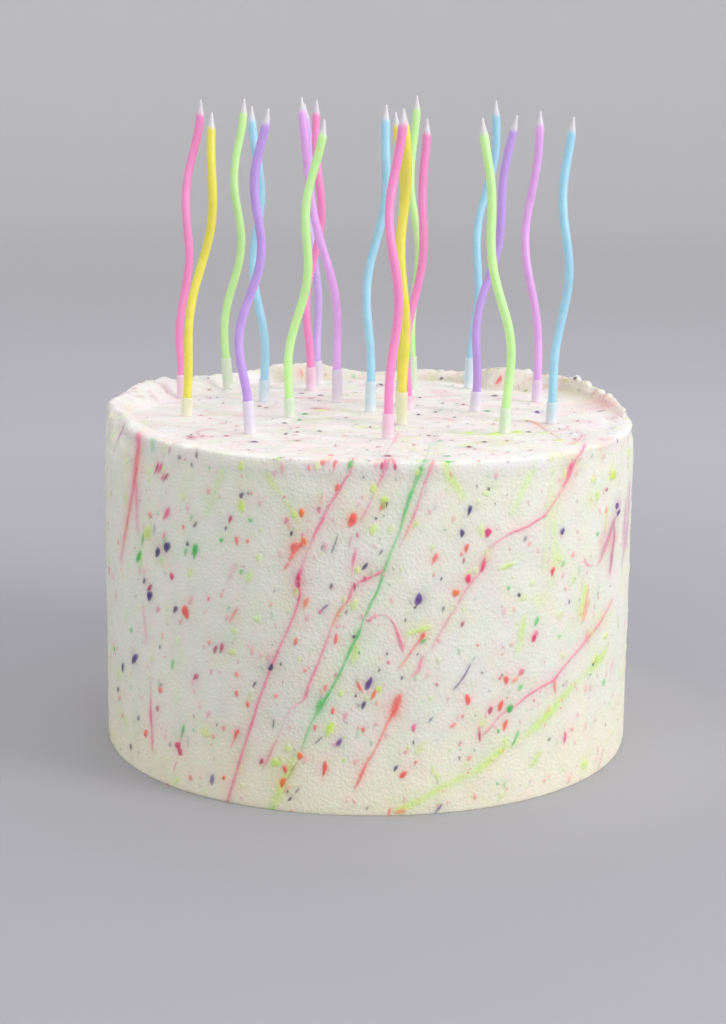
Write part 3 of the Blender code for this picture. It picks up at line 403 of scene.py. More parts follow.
    ("magenta", 229, 16, 3, 2.4, 95, 0.9),
    ("dark", 214.5, 22, 1.9, 1.5, 80, 0.7),
    ("green", 211.5, 55, 2.3, 1.8, 70, 0.6),
    ("lime", 203.5, 34, 6.4, 2.3, 75, 0.3),
    ("coral", 290.5, 43, 4.4, 1.9, 100, 1),
    ("coral", 289.5, 37, 1.9, 1.2, 65, 0.6),
    ("coral", 287.5, 34, 2.5, 1.8, 25, 0.6),
    ("coral", 299, 48.5, 3.2, 2.1, 90, 0.95),
    ("dark", 298, 50.5, 1, 1, 90, 0.6),
    ("magenta", 302.5, 50.5, 3.2, 1.9, 55, 0.7),
    ("orange", 301, 48, 3.4, 1.3, 35, 0.6),
    ("green", 302.5, 45, 2.5, 1.9, 65, 0.6),
    ("magenta", 295.5, 38, 3.4, 1.8, 65, 0.8),
    ("green", 300, 37.5, 3.1, 2.6, 80, 1),
    ("coral", 299, 31.5, 4, 1.7, 80, 0.95),
    ("magenta", 305.5, 62.5, 3.5, 1.9, 80, 1),
    ("pink", 306, 64, 2.2, 1.9, 80, 0.7),
    ("coral", 293, 32, 1.5, 1.2, 90, 0.5),
    ("dark", 289, 21.5, 1.5, 1.1, 90, 0.6),
    ("coral", 291, 21, 2.1, 1.8, 60, 0.5),
    ("magenta", 284, 49.5, 1.5, 1.3, 90, 0.6),
    ("dark", 293.5, 52.5, 1.3, 1, 90, 0.5),
    ("coral", 300, 61.5, 1.8, 1.3, 80, 0.4),
    ("dark", 310.5, 22.5, 1.5, 1.5, 80, 0.5),
    ("lime", 298, 22, 2.5, 2.2, 55, 0.5),
    ("orange", 298.5, 22, 1.8, 1.2, 55, 0.7),
    ("green", 297.5, 10, 1.5, 1, 90, 0.6),
    ("orange", 292.5, 6, 1.9, 1.4, 90, 0.6),
    ("lime", 322.5, 7.5, 3.6, 3.5, 95, 0.35),
    ("green", 330.5, 36, 2.7, 1.8, 85, 0.6),
    ("dark", 325, 45.5, 1.5, 1.4, 75, 0.9),
    ("green", 324, 42, 1.1, 1.4, 75, 0.6),
    ("lime", 326, 47, 4.4, 2.9, 35, 0.5),
    ("coral", 317.5, 23.5, 1.6, 1.8, 95, 0.4),
    ("coral", 309.5, 7, 1.4, 1.3, 90, 0.5),
    ("green", 312.5, 61, 1.5, 1.5, 80, 0.5),
    ("lime", 330.5, 54, 2.6, 2.9, 70, 0.4),
    ("lime", 312.5, 69, 3.7, 2.7, 85, 0.2),
    ("coral", 261, 128.5, 1.8, 1.4, 80, 0.7),
    ("green", 266.5, 128.5, 3.4, 1.4, 60, 0.75),
    ("coral", 264, 120.5, 2.8, 1.8, 70, 0.85),
    ("magenta", 260.5, 113, 1.6, 1.4, 70, 0.7),
    ("magenta", 272.5, 128, 2.4, 1.1, 78, 0.9),
    ("magenta", 275, 128, 2.4, 1.1, 100, 0.9),
    ("lime", 271, 120.5, 3.2, 2.2, 80, 0.5),
    ("coral", 255.5, 99, 3.4, 2.2, 60, 0.9),
    ("orange", 257.5, 101, 3, 1.9, 95, 0.9),
    ("coral", 255, 95, 2.8, 1.8, 60, 0.6),
    ("magenta", 256.5, 88, 3.6, 2, 80, 0.95),
    ("magenta", 256.5, 85.5, 3.6, 1.4, 88, 0.9),
    ("lime", 279.5, 126, 2.8, 1.6, 62, 0.5),
    ("lavender", 335.5, 102.5, 6.4, 4.4, 85, 0.25),
    ("lime", 322.5, 116.5, 3.2, 2.4, 80, 0.35),
    ("lime", 324.5, 110, 3.6, 2, 85, 0.35),
    ("lime", 321, 128.5, 2.4, 1.8, 70, 0.3),
    ("lime", 343, 120.5, 3.6, 2.4, 88, 0.4),
    ("dark", 333.5, 128, 2, 1, 85, 0.55),
    ("magenta", 330.5, 134, 2, 1.2, 80, 0.3),
    ("pink", 227.5, 132, 3.6, 1.6, 80, 0.3),
    ("dark", 229.5, 126, 1.6, 1.2, 80, 0.6),
    ("dark", 232.5, 124, 1.8, 1.2, 80, 0.6),
    ("dark", 234, 127.5, 1.6, 1.2, 80, 0.65),
    ("mauve", 226.5, 127.5, 2, 1.2, 80, 0.4),
    ("dark", 31.5, 134, 1.8, 1.4, 60, 0.9),
    ("coral", 52, 139.5, 2.4, 2.2, 70, 0.85),
    ("magenta", 51.5, 139.5, 1.2, 1, 80, 0.7),
    ("lime", 34.5, 136, 3.2, 1.8, 30, 0.4),
    ("dark", 8.5, 142.5, 1.8, 1.3, 30, 0.65),
    ("mauve", 357.5, 136.5, 2.2, 1.4, 10, 0.55),
    ("dark", 71, 141, 1.8, 1.5, 30, 0.8),
    ("olive", 44, 142.5, 1.6, 1.2, 10, 0.8),
    ("green", 73, 133.5, 2.4, 1, 10, 0.6),
)
# The same on the flat top: x, y, width, depth, strength in mm.
TOP_DROPS = (
    ("green", -25.5, 0, 1.9, 4.3, 0.95),
    ("green", -27, -14, 1.5, 3.5, 0.8),
    ("dark", -32.5, -22, 1.5, 3, 0.8),
    ("magenta", -27, -42, 1.5, 3.4, 0.9),
    ("pink", -29.5, -34, 1.1, 2.8, 0.6),
    ("dark", -31, -46.5, 1.5, 2.4, 0.7),
    ("coral", -26, -59.5, 2.2, 2.7, 0.7),
    ("purple", -42, -61.5, 2.9, 3.1, 1),
    ("pink", -66, -53, 1.5, 3.4, 0.7),
    ("pink", -61.5, -52, 1.8, 4, 0.4),
    ("pink", -58, -52.5, 1.5, 3.2, 0.4),
    ("coral", -53, -50, 2.5, 3.6, 0.7),
    ("pink", -66, -5, 1.5, 3.6, 0.8),
    ("pink", -62, -12, 1.1, 2.9, 0.6),
    ("pink", -56, -25, 3.4, 2.6, 0.5),
    ("pink", -50.5, -30, 2.2, 2.5, 0.6),
    ("magenta", -59.5, 25, 1.2, 3, 0.8),
    ("dark", -63, 37.5, 1, 2.6, 0.7),
    ("pink", -66, 36, 2, 4, 0.4),
    ("magenta", -44.5, 19, 1.6, 3.7, 0.8),
    ("magenta", -41.5, 15.5, 1.6, 3.3, 0.8),
    ("dark", -72.5, 70, 1.1, 2.8, 0.8),
    ("magenta", -69, 58, 1.7, 3.1, 0.6),
    ("pink", -21.5, 14.5, 4.7, 3.3, 0.6),
    ("lime", -19, 10, 5.5, 4.2, 0.4),
    ("dark", -20.5, 47.5, 2.5, 3.1, 0.8),
    ("dark", -28.5, 52, 2.1, 3.1, 0.7),
    ("pink", -24, 39, 3.7, 3.5, 0.5),
    ("dark", 52.5, 51.5, 2.5, 3.6, 0.8),
    ("green", 47, 11, 2.8, 3.7, 0.8),
    ("purple", 67, 9, 2, 4.3, 0.95),
    ("dark", 60.5, -34, 1.6, 3.7, 0.8),
    ("dark", 42.5, -57, 1.8, 3.1, 0.85),
    ("magenta", 36.5, -66.5, 2.1, 3.8, 0.95),
    ("coral", 51, -54.5, 1.4, 3.2, 0.8),
    ("coral", 60, -72.5, 1.8, 4, 0.7),
    ("coral", 51, -78, 1.4, 3.3, 0.7),
    ("magenta", 38.5, 27.5, 1.6, 3.7, 0.8),
    ("pink", 30.5, -23, 1.1, 2.8, 0.7),
    ("coral", 77, -47.5, 1.3, 3.2, 0.7),
    ("lime", 47, -41.5, 5.2, 4.1, 0.7),
    ("lime", 38, -37.5, 5.2, 3.3, 0.5),
    ("lime", 56, -36.5, 3.3, 6.8, 0.5),
    ("lime", 70.5, -52, 4.4, 6, 0.35),
    ("lime", 80.5, -63.5, 2.2, 4.7, 0.5),
    ("olive", 61.5, -10, 1.5, 3.6, 0.6),
    ("dark", 21, 45.5, 1.4, 3.3, 0.9),
    ("dark", 30, 30.5, 1.2, 3, 0.7),
    ("dark", 19.5, 2, 1.4, 3.2, 0.9),
    ("dark", 26.5, 7.5, 1.3, 3.2, 0.8),
    ("magenta", 22.5, -44, 1.8, 2.8, 0.7),
    ("dark", 24.5, -45, 0.9, 2.4, 0.7),
    ("dark", 0.5, -27.5, 1, 2.7, 0.7),
    ("dark", 37, -67.5, 0.7, 1.9, 0.6),
    ("purple", 38.5, -70, 0.8, 2.3, 0.6),
    ("coral", 45.5, -82, 1, 2.6, 0.6),
    ("lime", 66.5, -33.5, 5.2, 4.2, 0.3),
    ("green", 26, -57, 1.8, 4, 0.5),
    ("coral", -9, -47, 1.8, 2.8, 0.5),
    ("pink", 3.5, -68.5, 1.8, 3, 0.5),
    ("dark", -18.5, -37.5, 1.8, 2.5, 0.7),
    ("magenta", -27, -31.5, 1.5, 2.5, 0.6),
    ("pink", -12, -67.5, 1.1, 2.7, 0.5),
    ("magenta", -9, -6, 1.5, 2.7, 0.6),
    ("coral", -5, -21.5, 1.9, 2.6, 0.5),
    ("green", 0.5, -57, 1.4, 2.3, 0.4),
    ("dark", 33.5, -5, 1.2, 2.7, 0.7),
    ("pink", 30.5, -55, 1.8, 2.8, 0.5),
    ("coral", 16.5, -65.5, 1.8, 2.3, 0.5),
    ("dark", 76.5, -35, 1, 2.5, 0.6),
    ("purple", 81.5, -8.5, 1, 2.6, 0.5),
    ("green", 73, -24.5, 1, 2.6, 0.6),
    ("orange", -13.4, -85, 1.8, 6, 0.6),
    ("magenta", 6.6, -86, 3.2, 6, 0.85),
    ("green", 28.2, -86, 3, 8, 0.3),
    ("pink", -65.4, -56, 3.8, 7, 0.4),
    ("magenta", -65.6, -55, 1.5, 5, 0.55),
)
TOP_STROKES = (
    ("orange", ((62, -7.5, 0.8, 0.6), (64, -12, 1, 0.7), (65.5, -18.5, 1, 0.7), (67, -25, 0.8, 0.6))),
    ("pink", ((67, -25, 0.8, 0.4), (69, -35.5, 0.7, 0.45), (71, -48, 0.7, 0.4), (72.5, -56, 0.7, 0.3))),
    ("magenta", ((80.5, -37, 1.1, 0.7), (79, -49.5, 1.2, 0.8), (76.5, -63.5, 1.1, 0.7))),
    ("pink", ((79, -26.5, 0.8, 0.3), (82, -41, 0.7, 0.3))),
    ("lime", ((29.5, -34, 0.9, 0.5), (38, -40, 0.9, 0.5), (48, -41.5, 1.3, 0.7))),
    ("lime", ((13.5, -54, 1.8, 0.4), (15, -66, 1.8, 0.45), (17.5, -77.5, 1.8, 0.35))),
    ("pink", ((-25, 14.5, 0.8, 0.5), (-20, 13.5, 0.8, 0.5), (-17.5, 16, 0.8, 0.4))),
    ("orange", ((-20.5, 7.5, 0.8, 0.3), (-15.5, 12.5, 0.8, 0.3))),
    ("pink", ((11, -39.5, 0.9, 0.5), (9, -62.5, 1.1, 0.5))),
)
# Soft smears: direction, distance up the section, amount.
SMEARS = (
    ("pink", 12, 140, 26),
    ("pink", 10.5, 137, 22),
    ("pink", 17, 139, 16),
    ("mauve", 3, 137, 10),
    ("pink", 0.5, 139, 14),
    ("pink", 327, 129, 18),
    ("pink", 331.5, 130.5, 14),
    ("lime", 311.5, 129, 16),
    ("lime", 315.5, 126, 16),
    ("lime", 325, 126, 14),
    ("pink", 102.5, 198, 14),
    ("pink", 48, 181, 16),
    ("pink", 63.5, 169, 12),
    ("pink", 39, 162, 14),
    ("pink", 136.5, 209, 16),
    ("lime", 137.5, 221, 12),
    ("green", 235, 219, 8),
    ("pink", 355, 153, 12),
    ("pink", 181.5, 185, 14),
    ("pink", 166, 170, 10),
    ("pink", 284.5, 198, 10),
    ("lime", 316.5, 170, 20),
    ("lime", 327, 169, 16),
    ("lime", 286, 180, 14),
    ("green", 290, 166, 9),
    ("lavender", 345, 99.5, 18),
    ("lavender", 344.5, 88, 15),
    ("lime", 331, 117, 14),
    ("pink", 219.5, 152, 12),
    ("pink", 215, 128, 10),
    ("pink", 328.5, 94, 10),
    ("pink", 331, 89, 10),
    ("lime", 327.5, 61.5, 20),
    ("lime", 312, 89.5, 16),
    ("lime", 307, 76, 14),
    ("lime", 321.5, 109, 14),
)

# =============================================================================
# helpers
# =============================================================================
def lin(r, g, b):
    """sRGB 0-255 to the linear values that shaders use."""
    out = []
    for c in (r, g, b):
        c = c / 255.0
        out.append(c / 12.92 if c <= 0.04045 else ((c + 0.055) / 1.055) ** 2.4)
    return tuple(out)


_rng = np.random.default_rng(20)
_LATTICE = _rng.uniform(-1.0, 1.0, (64, 64, 64))
_TURN = np.array([[0.36, 0.48, -0.80], [-0.80, 0.60, 0.00], [0.48, 0.64, 0.60]])


def noise(p, size, seed=0):
    """Smooth value noise in -1..1; size is the spacing of its lattice in mm."""
    q = (p @ _TURN.T) / size + 17.31 * (seed + 1)
    i = np.floor(q).astype(np.int64)
    f = q - i
    w = f * f * f * (f * (6.0 * f - 15.0) + 10.0)
    i0, i1 = i & 63, (i + 1) & 63
    out = 0.0
    for cx in (0, 1):
        wx = w[:, 0] if cx else 1.0 - w[:, 0]
        ix = (i1 if cx else i0)[:, 0]
        for cy in (0, 1):
            wy = w[:, 1] if cy else 1.0 - w[:, 1]
            iy = (i1 if cy else i0)[:, 1]
            for cz in (0, 1):
                wz = w[:, 2] if cz else 1.0 - w[:, 2]
                iz = (i1 if cz else i0)[:, 2]
                out = out + wx * wy * wz * _LATTICE[ix, iy, iz]
    return out


def wrapped(a):
    return (a + 180.0) % 360.0 - 180.0


def hump(a, at, spread):
    return np.exp(-(wrapped(a - at) / spread) ** 2)


def ease(t):
    t = np.clip(t, 0.0, 1.0)
    return t * t * (3.0 - 2.0 * t)


def make_object(name, verts_mm, faces, material, smooth=True):
    mesh = bpy.data.meshes.new(name)
    mesh.from_pydata((np.asarray(verts_mm) * MM).tolist(), [], faces)
    mesh.materials.append(material)
    if smooth:
        mesh.shade_smooth()
    mesh.update()
    obj = bpy.data.objects.new(name, mesh)
    bpy.context.scene.collection.objects.link(obj)
    return obj


def point_floats(obj, name, values):
    layer = obj.data.attributes.new(name, "FLOAT", "POINT")
    layer.data.foreach_set("value", np.asarray(values, np.float32))


def point_colours(obj, name, rgb):
    rgba = np.ones((len(rgb), 4), np.float32)
    rgba[:, :3] = rgb
    layer = obj.data.attributes.new(name, "FLOAT_COLOR", "POINT")
    layer.data.foreach_set("color", rgba.ravel())


# =============================================================================
# the cake's surface: a function of direction and distance up the section
# =============================================================================
_deg = np.arange(0.0, 360.0, 0.5)
_lip = np.interp(_deg, [d for d, _ in LIP], [h for _, h in LIP], period=360.0)
_kernel = np.exp(-(np.arange(-8, 9) * 0.5 / 1.5) ** 2)
_kernel /= _kernel.sum()
_lip = np.convolve(np.concatenate([_lip[-8:], _lip, _lip[:8]]), _kernel, "valid")


def lip_height(a):
    return np.interp(a % 360.0, _deg, _lip, period=360.0)


def lip_thickness(a):
    """Distance from the wall to the inner foot of the lip."""
    t = np.interp(a % 360.0, [d for d, _ in FOOT], [w for _, w in FOOT], period=360.0)
    return t + 0.35 * np.sin(np.radians(13 * a + 40)) + 0.25 * np.sin(np.radians(29 * a))


def lip_overhang(a):
    return sum(out * hump(a, at, spread) for at, spread, out in LIP_BULGE)


def wall_radius(a):
    r = np.radians(a)
    return CAKE_RADIUS + 0.25 * np.sin(2 * r + 0.4) + 0.2 * np.sin(5 * r)


def cad_shift():
    """The CAD section is centred on its own box after it is turned; so is this."""
    a = np.arange(AROUND) * 360.0 / AROUND
    r = np.radians(a)
    rad = CAKE_RADIUS + 0.25 * np.sin(2 * r + 0.4) + 0.2 * np.sin(5 * r)
    widest = rad + sum(out * hump(a, at, spread) for at, spread, out in CAD_BULGE)
    x, y = widest * np.cos(r), widest * np.sin(r)
    return np.array([-(x.min() + x.max()) / 2, -(y.min() + y.max()) / 2, 0.0])


SHIFT = cad_shift()
U_KNOTS = np.array([0.0, 1.3, 4.5, 32.9, 77.5, 116.5, 121.5, 124.0, 126.4, 128.6,
                    131.0, 133.4, 136.2, 139.0, 141.2, 143.0, 145.0])
U_TOP = 145.0
U_END = 235.0


def steepness(a):
    """1 where the lip stands up as a thick band with an upright inner face, at the back right."""
    right = ease((66.0 - np.abs(wrapped(a - 57.0))) / 9.0)
    left = 0.25 * ease((15.0 - np.abs(wrapped(a - 194.0))) / 7.0)
    return np.maximum(right, left)


def crispness(a):
    """1 along the front, where the scraped top meets the wall at an edge."""
    return ease((62.0 - np.abs(wrapped(a - 264.0))) / 22.0)


def ramped(a):
    """1 at the right, where the top rises in a gentle ramp to the foot of the lip's inner face."""
    return ease((26.0 - np.abs(wrapped(a - 20.0))) / 8.0)


def mix(a, b, t):
    return a + (b - a) * t


def knots(a):
    """Radius and height of the section's control rings at each direction."""
    rad, h, t, out = wall_radius(a), lip_height(a), lip_thickness(a), lip_overhang(a)
    top, st, cr = CAKE_HEIGHT, steepness(a), crispness(a)
    zero = np.zeros_like(a)
    low, rad = rad - 0.02, rad - 0.50
    droop = hump(a, 197.0, 9.0)
    ramp = ramped(a)
    rr = [low - BASE_ROUND, low - 0.3 * BASE_ROUND, low, low - 0.04, low - 0.16, rad + 0.12,
          rad + 0.1 * out - 0.8 * droop,
          rad + 0.45 * out - 1.1 * droop,
          rad + 0.95 * out - 1.2 * droop,
          rad + mix(mix(0.55 * out, 0.8 * out - 0.5, st), 0.55 * out - 0.25, cr) - 3.0 * droop,
          mix(mix(rad - 0.13 * t, rad + 0.5 * out - 1.2, st), rad - 0.10 * t, cr) - 3.8 * droop,
          mix(mix(rad - 0.30 * t, rad - 2.6, st), rad - 0.28 * t, cr) - 3.4 * droop,
          mix(mix(mix(rad - 0.50 * t, rad - 0.40 * t - 1.0, st), rad - 0.50 * t, cr), rad - 3.9, ramp) - 2.2 * droop,
          mix(mix(rad - 0.72 * t, rad - 0.72 * t - 0.6, st), rad - 5.2, ramp) - 1.1 * droop,
          mix(mix(rad - 0.87 * t, rad - 0.93 * t, st), rad - 6.6, ramp),
          mix(rad - t, rad - t + 0.1, st), rad - t - 2.0]
    zz = [zero, zero + 0.4 * BASE_ROUND, zero + 3.5, zero + 31.9, zero + 76.5, zero + 115.5,
          zero + 120.5, zero + 123.0, zero + 125.4,
          top + mix(mix(0.36 * h - 0.3, 0.42 * h - 0.5, st), 0.62 * h - 0.2, cr),
          top + mix(mix(0.80 * h, 0.90 * h, st), 0.97 * h, cr),
          top + h,
          top + mix(mix(0.86 * h, 0.88 * h, st), 0.90 * h, cr),
          top + mix(0.50 * h, 0.60 * h, st),
          top + mix(mix(0.20 * h, 0.22 * h, st), 0.37 * h, ramp),
          top + mix(mix(0.04 * h, 0.0 * h, st), 0.06 * h, ramp), zero + top]
    return np.stack(rr, -1), np.stack(zz, -1)


def section(a, u):
    """Radius and height at direction a and distance u up the section."""
    rr, zz = knots(a)
    k = len(U_KNOTS)
    j = np.clip(np.searchsorted(U_KNOTS, u, "right") - 1, 0, k - 2)
    u0, u1 = U_KNOTS[j], U_KNOTS[j + 1]
    s = np.clip((u - u0) / (u1 - u0), 0.0, 1.0)
    s2, s3 = s * s, s * s * s
    h00, h10, h01, h11 = 2 * s3 - 3 * s2 + 1, s3 - 2 * s2 + s, 3 * s2 - 2 * s3, s3 - s2
    found = []
    for c in (rr, zz):
        def at(n):
            return np.take_along_axis(c, n[:, None], 1)[:, 0]
        lo, hi = np.maximum(j - 1, 0), np.minimum(j + 2, k - 1)
        c0, c1 = at(j), at(j + 1)
        m0 = (c1 - at(lo)) / (u1 - U_KNOTS[lo])
        m1 = (at(hi) - c0) / (U_KNOTS[hi] - u0)
        found.append(h00 * c0 + h10 * (u1 - u0) * m0 + h01 * c1 + h11 * (u1 - u0) * m1)
    r, z = found
    inner = rr[:, -1] * np.clip(1.0 - (u - U_TOP) / (U_END - U_TOP), 0.0, 1.0)
    r = np.where(u > U_TOP, inner, r)
    z = np.where(u > U_TOP, CAKE_HEIGHT, z)
    return r, z


def base_point(a, u):
    r, z = section(a, u)
    t = np.radians(a)
    return np.stack([r * np.cos(t), r * np.sin(t), z], -1)


# Marks of the scraper on the top: each from, to (mm), height of the step.
SCRAPES = (
    ((-91, -11), (-66, -18), 0.45), ((-90, 27), (-70, 31), 0.40), ((-62, 30), (-38, 36), 0.30),
    ((-34, 34), (-12, 37), 0.40), ((-12, 12), (8, 13), 0.35), ((24, -8), (52, -14), 0.35),
    ((-30, -66), (36, -61), 0.30), ((36, -44), (60, -50), 0.30), ((-10, 74), (40, 78), 0.40),
    ((52, 60), (30, 44), 0.35), ((-48, -42), (-20, -47), 0.30), ((84, 10), (58, 12), 0.40),
    ((-55, 66), (-34, 52), 0.35), ((12, 60), (34, 62), 0.30), ((-8, -26), (22, -29), 0.25),
    ((70, -44), (50, -30), 0.30), ((-64, -50), (-50, -34), 0.35), ((0, 92), (4, 66), 0.35),
)


LUMPS = ((31.8, 131.6, 2.1, 1.9), (36.8, 131.0, 2.0, 0.8), (20.5, 131.4, 1.8, 0.9), (17.0, 131.4, 1.6, 0.7), (149.0, 131.5, 2.2, 0.9), (142.0, 132.0, 1.6, 0.8),
         (138.0, 131.5, 1.8, 0.9), (190.0, 130.5, 3.2, 0.9), (197.0, 130.0, 2.6, 0.6), (170.0, 132.0, 2.4, 0.6),
         (357.5, 138.0, 3.0, 0.8), (48.0, 131.5, 2.0, 0.6),
         (112.0, 131.8, 2.2, 0.7), (103.0, 131.5, 1.7, 0.6), (66.0, 131.0, 1.8, 0.6), (5.0, 130.5, 1.8, 0.6))


def top_relief(x, y):
    out = np.zeros_like(x)
    for n, ((x0, y0), (x1, y1), high) in enumerate(SCRAPES):
        dx, dy = x1 - x0, y1 - y0
        long = math.hypot(dx, dy)
        dx, dy = dx / long, dy / long
        along = (x - x0) * dx + (y - y0) * dy
        across = -(x - x0) * dy + (y - y0) * dx
        across = across - 0.0016 * along * (long - along) * (1 if n % 2 else -1)
        fade = ease((along + 5.0) / 9.0) * ease((long + 5.0 - along) / 9.0)
        step = np.where(across > 0, np.exp(-across / 6.0), np.exp(across / 0.9))
        out = out + high * fade * step
    return out


def relief(p, a, u):
    """How far the icing stands out of its smooth form, in mm."""
    on_wall = ease((123.0 - u) / 5.0) * ease((u - 1.0) / 4.0)
    on_top = ease((u - 143.0) / 4.0)
    on_lip = np.clip(1.0 - on_top - ease((123.0 - u) / 5.0), 0.0, 1.0)
    back = ease((lip_height(a) - 2.2) / 2.5)
    st = steepness(a)
    crest = ease((u - 125.0) / 3.0) * ease((139.5 - u) / 2.0)
    grain = 0.62 * noise(p, 1.35, 1) + 0.38 * noise(p, 2.4, 2)
    d = on_wall * (0.12 * grain + 0.09 * noise(p, 9.0, 3) + 0.16 * noise(p, 26.0, 4))
    d += on_wall * 0.05 * noise(p * np.array([0.35, 0.35, 1.0]), 5.5, 5)
    soft = 0.55 * noise(p, 7.5, 6) + 0.30 * noise(p, 3.6, 7)
    d += on_lip * ((0.35 + 0.75 * back * (1 - 0.5 * st)) * soft + 0.10 * grain)
    ragged = 1.15 * noise(p, 3.0, 8) + 0.7 * noise(p, 5.6, 12) + 0.55 * noise(p, 1.8, 13)
    d += crest * back * (0.45 + 0.05 * st) * ragged
    # single lumps that the scraper left on the lip: direction, distance up, size, height
    for at, up, size, high in LUMPS:
        gap = (wrapped(a - at) * across_scale(u)) ** 2 + (u - up) ** 2
        d += high * np.exp(-gap / (size * size))
    # the roll at the left end of the lip, with a groove under it
    end = hump(a, 195.0, 9.0)
    d -= 0.3 * end * np.exp(-(((u - 119.5) / 1.4) ** 2))
    d += 0.4 * end * np.exp(-(((u - 127.0) / 3.0) ** 2))
    # strokes of the scraper along the lip, one above another
    lines = np.sin(u * 1.15 + 1.2 * noise(p, 22.0, 14) * 3.0 + np.radians(2.0 * a))
    d += on_lip * ease((u - 129.0) / 3.0) * back * (1 - st) * 0.22 * lines
    # a dent where two strokes of the scraper met at the front left
    d -= 0.9 * np.exp(-((wrapped(a - 231.5) / 1.3) ** 2)) * ease((u - 119.0) / 5.0) * ease((141.0 - u) / 7.0)
    d += 0.5 * np.exp(-((wrapped(a - 229.0) / 2.0) ** 2)) * ease((u - 122.0) / 3.0) * ease((136.0 - u) / 5.0)
    x, y = p[:, 0], p[:, 1]
    d += on_top * (0.11 * grain + 0.10 * noise(p, 4.5, 15) + 0.22 * noise(p, 11.0, 9)
                   + 0.25 * noise(p, 28.0, 10) + 1.6 * top_relief(x, y))
    for row in CANDLES:
        gap = np.hypot(x + SHIFT[0] - row[1], y + SHIFT[1] - row[2])
        d += on_top * 0.55 * np.exp(-((gap - 2.0) / 1.6) ** 2) * (gap < 7.0)
    return d


def surface(a, u, lift=0.0):
    """Points of the finished icing, raised by lift along its own normal."""
    a = np.asarray(a, float)
    u = np.asarray(u, float)
    p = base_point(a, u)
    r = np.hypot(p[:, 0], p[:, 1])
    da = np.degrees(0.25 / np.maximum(r, 2.0))
    du = 0.25
    tu = base_point(a, np.minimum(u + du, U_END - 0.3)) - base_point(a, np.maximum(u - du, 0.0))
    ta = base_point(a + da, u) - base_point(a - da, u)
    n = np.cross(ta, tu)
    n /= np.maximum(np.linalg.norm(n, axis=1), 1e-9)[:, None]
    flat = u >= U_TOP
    n[flat] = (0.0, 0.0, 1.0)
    p = p + n * (relief(p, a, u) + lift)[:, None] + SHIFT
    limit = np.array([cad_hi[0], cad_hi[1]]) / MM - 0.01
    p[:, :2] = np.clip(p[:, :2], -limit, limit)
    return p


def top_coords(x, y):
    """Direction and distance up the section of a point on the flat top."""
    x, y = np.asarray(x, float) - SHIFT[0], np.asarray(y, float) - SHIFT[1]
    a = np.degrees(np.arctan2(y, x)) % 360.0
    r = np.hypot(x, y)
    edge = wall_radius(a) - lip_thickness(a) - 2.0
    return a, np.where(r < edge, U_TOP + (U_END - U_TOP) * (1 - r / edge), U_TOP - 0.62 * (r - edge))


# =============================================================================
# materials
# =============================================================================
ICING = lin(240, 241, 230)
ICING_TOP = lin(243, 239, 238)


def new_material(name):
    mat = bpy.data.materials.new(name)
    mat.use_nodes = True
    tree = mat.node_tree
    return mat, tree, tree.nodes["Principled BSDF"]


def node(tree, kind, **values):
    n = tree.nodes.new(kind)
    for key, value in values.items():
        if hasattr(n, key):
            setattr(n, key, value)
        else:
            n.inputs[key.replace("_", " ")].default_value = value
    return n


def object_coords(tree):
    return tree.nodes.new("ShaderNodeTexCoord").outputs["Object"]


def grain_bump(tree, shader, strength, coords=None):
    """The orange-peel grain of scraped icing, with a finer sugar grain over it."""
    coords = coords or object_coords(tree)
    cells = node(tree, "ShaderNodeTexVoronoi", feature="SMOOTH_F1")
    cells.inputs["Scale"].default_value = 880.0
    cells.inputs["Smoothness"].default_value = 0.8
    fine = node(tree, "ShaderNodeTexNoise")
    fine.inputs["Scale"].default_value = 1500.0
    fine.inputs["Detail"].default_value = 2.0
    tree.links.new(coords, cells.inputs["Vector"])
    tree.links.new(coords, fine.inputs["Vector"])
    add = node(tree, "ShaderNodeMath", operation="MULTIPLY_ADD")
    add.inputs[1].default_value = 0.35
    tree.links.new(fine.outputs["Fac"], add.inputs[0])
    tree.links.new(cells.outputs["Distance"], add.inputs[2])
    bump = node(tree, "ShaderNodeBump")
    bump.inputs["Strength"].default_value = strength
    bump.inputs["Distance"].default_value = 0.0005
    tree.links.new(add.outputs[0], bump.inputs["Height"])
    tree.links.new(bump.outputs["Normal"], shader.inputs["Normal"])
    return coords


def icing_material():
    mat, tree, shader = new_material("icing")
    coords = grain_bump(tree, shader, 0.46)
    # the vertex colour holds the icing's colour together with its painted shade and painted bounce light
    tint_and_painted_light = node(tree, "ShaderNodeAttribute", attribute_name="tint_and_painted_light")
    cloud = node(tree, "ShaderNodeTexNoise")
    cloud.inputs["Scale"].default_value = 60.0
    cloud.inputs["Detail"].default_value = 4.0
    tree.links.new(coords, cloud.inputs["Vector"])
    ramp = node(tree, "ShaderNodeValToRGB")
    ramp.color_ramp.elements[0].position = 0.3
    ramp.color_ramp.elements[0].color = (0.955, 0.965, 0.94, 1)
    ramp.color_ramp.elements[1].position = 0.7
    ramp.color_ramp.elements[1].color = (1.0, 0.995, 0.985, 1)
    tree.links.new(cloud.outputs["Fac"], ramp.inputs["Fac"])
    mul = node(tree, "ShaderNodeMix", data_type="RGBA", blend_type="MULTIPLY")
    mul.inputs["Factor"].default_value = 1.0
    tree.links.new(tint_and_painted_light.outputs["Color"], mul.inputs["A"])
    tree.links.new(ramp.outputs["Color"], mul.inputs["B"])
    tree.links.new(mul.outputs["Result"], shader.inputs["Base Color"])
    shader.inputs["Roughness"].default_value = 0.62
    shader.inputs["Specular IOR Level"].default_value = 0.35
    shader.inputs["Subsurface Weight"].default_value = 0.12
    shader.inputs["Subsurface Radius"].default_value = (1.0, 0.85, 0.6)
    shader.inputs["Subsurface Scale"].default_value = 0.0012
    return mat


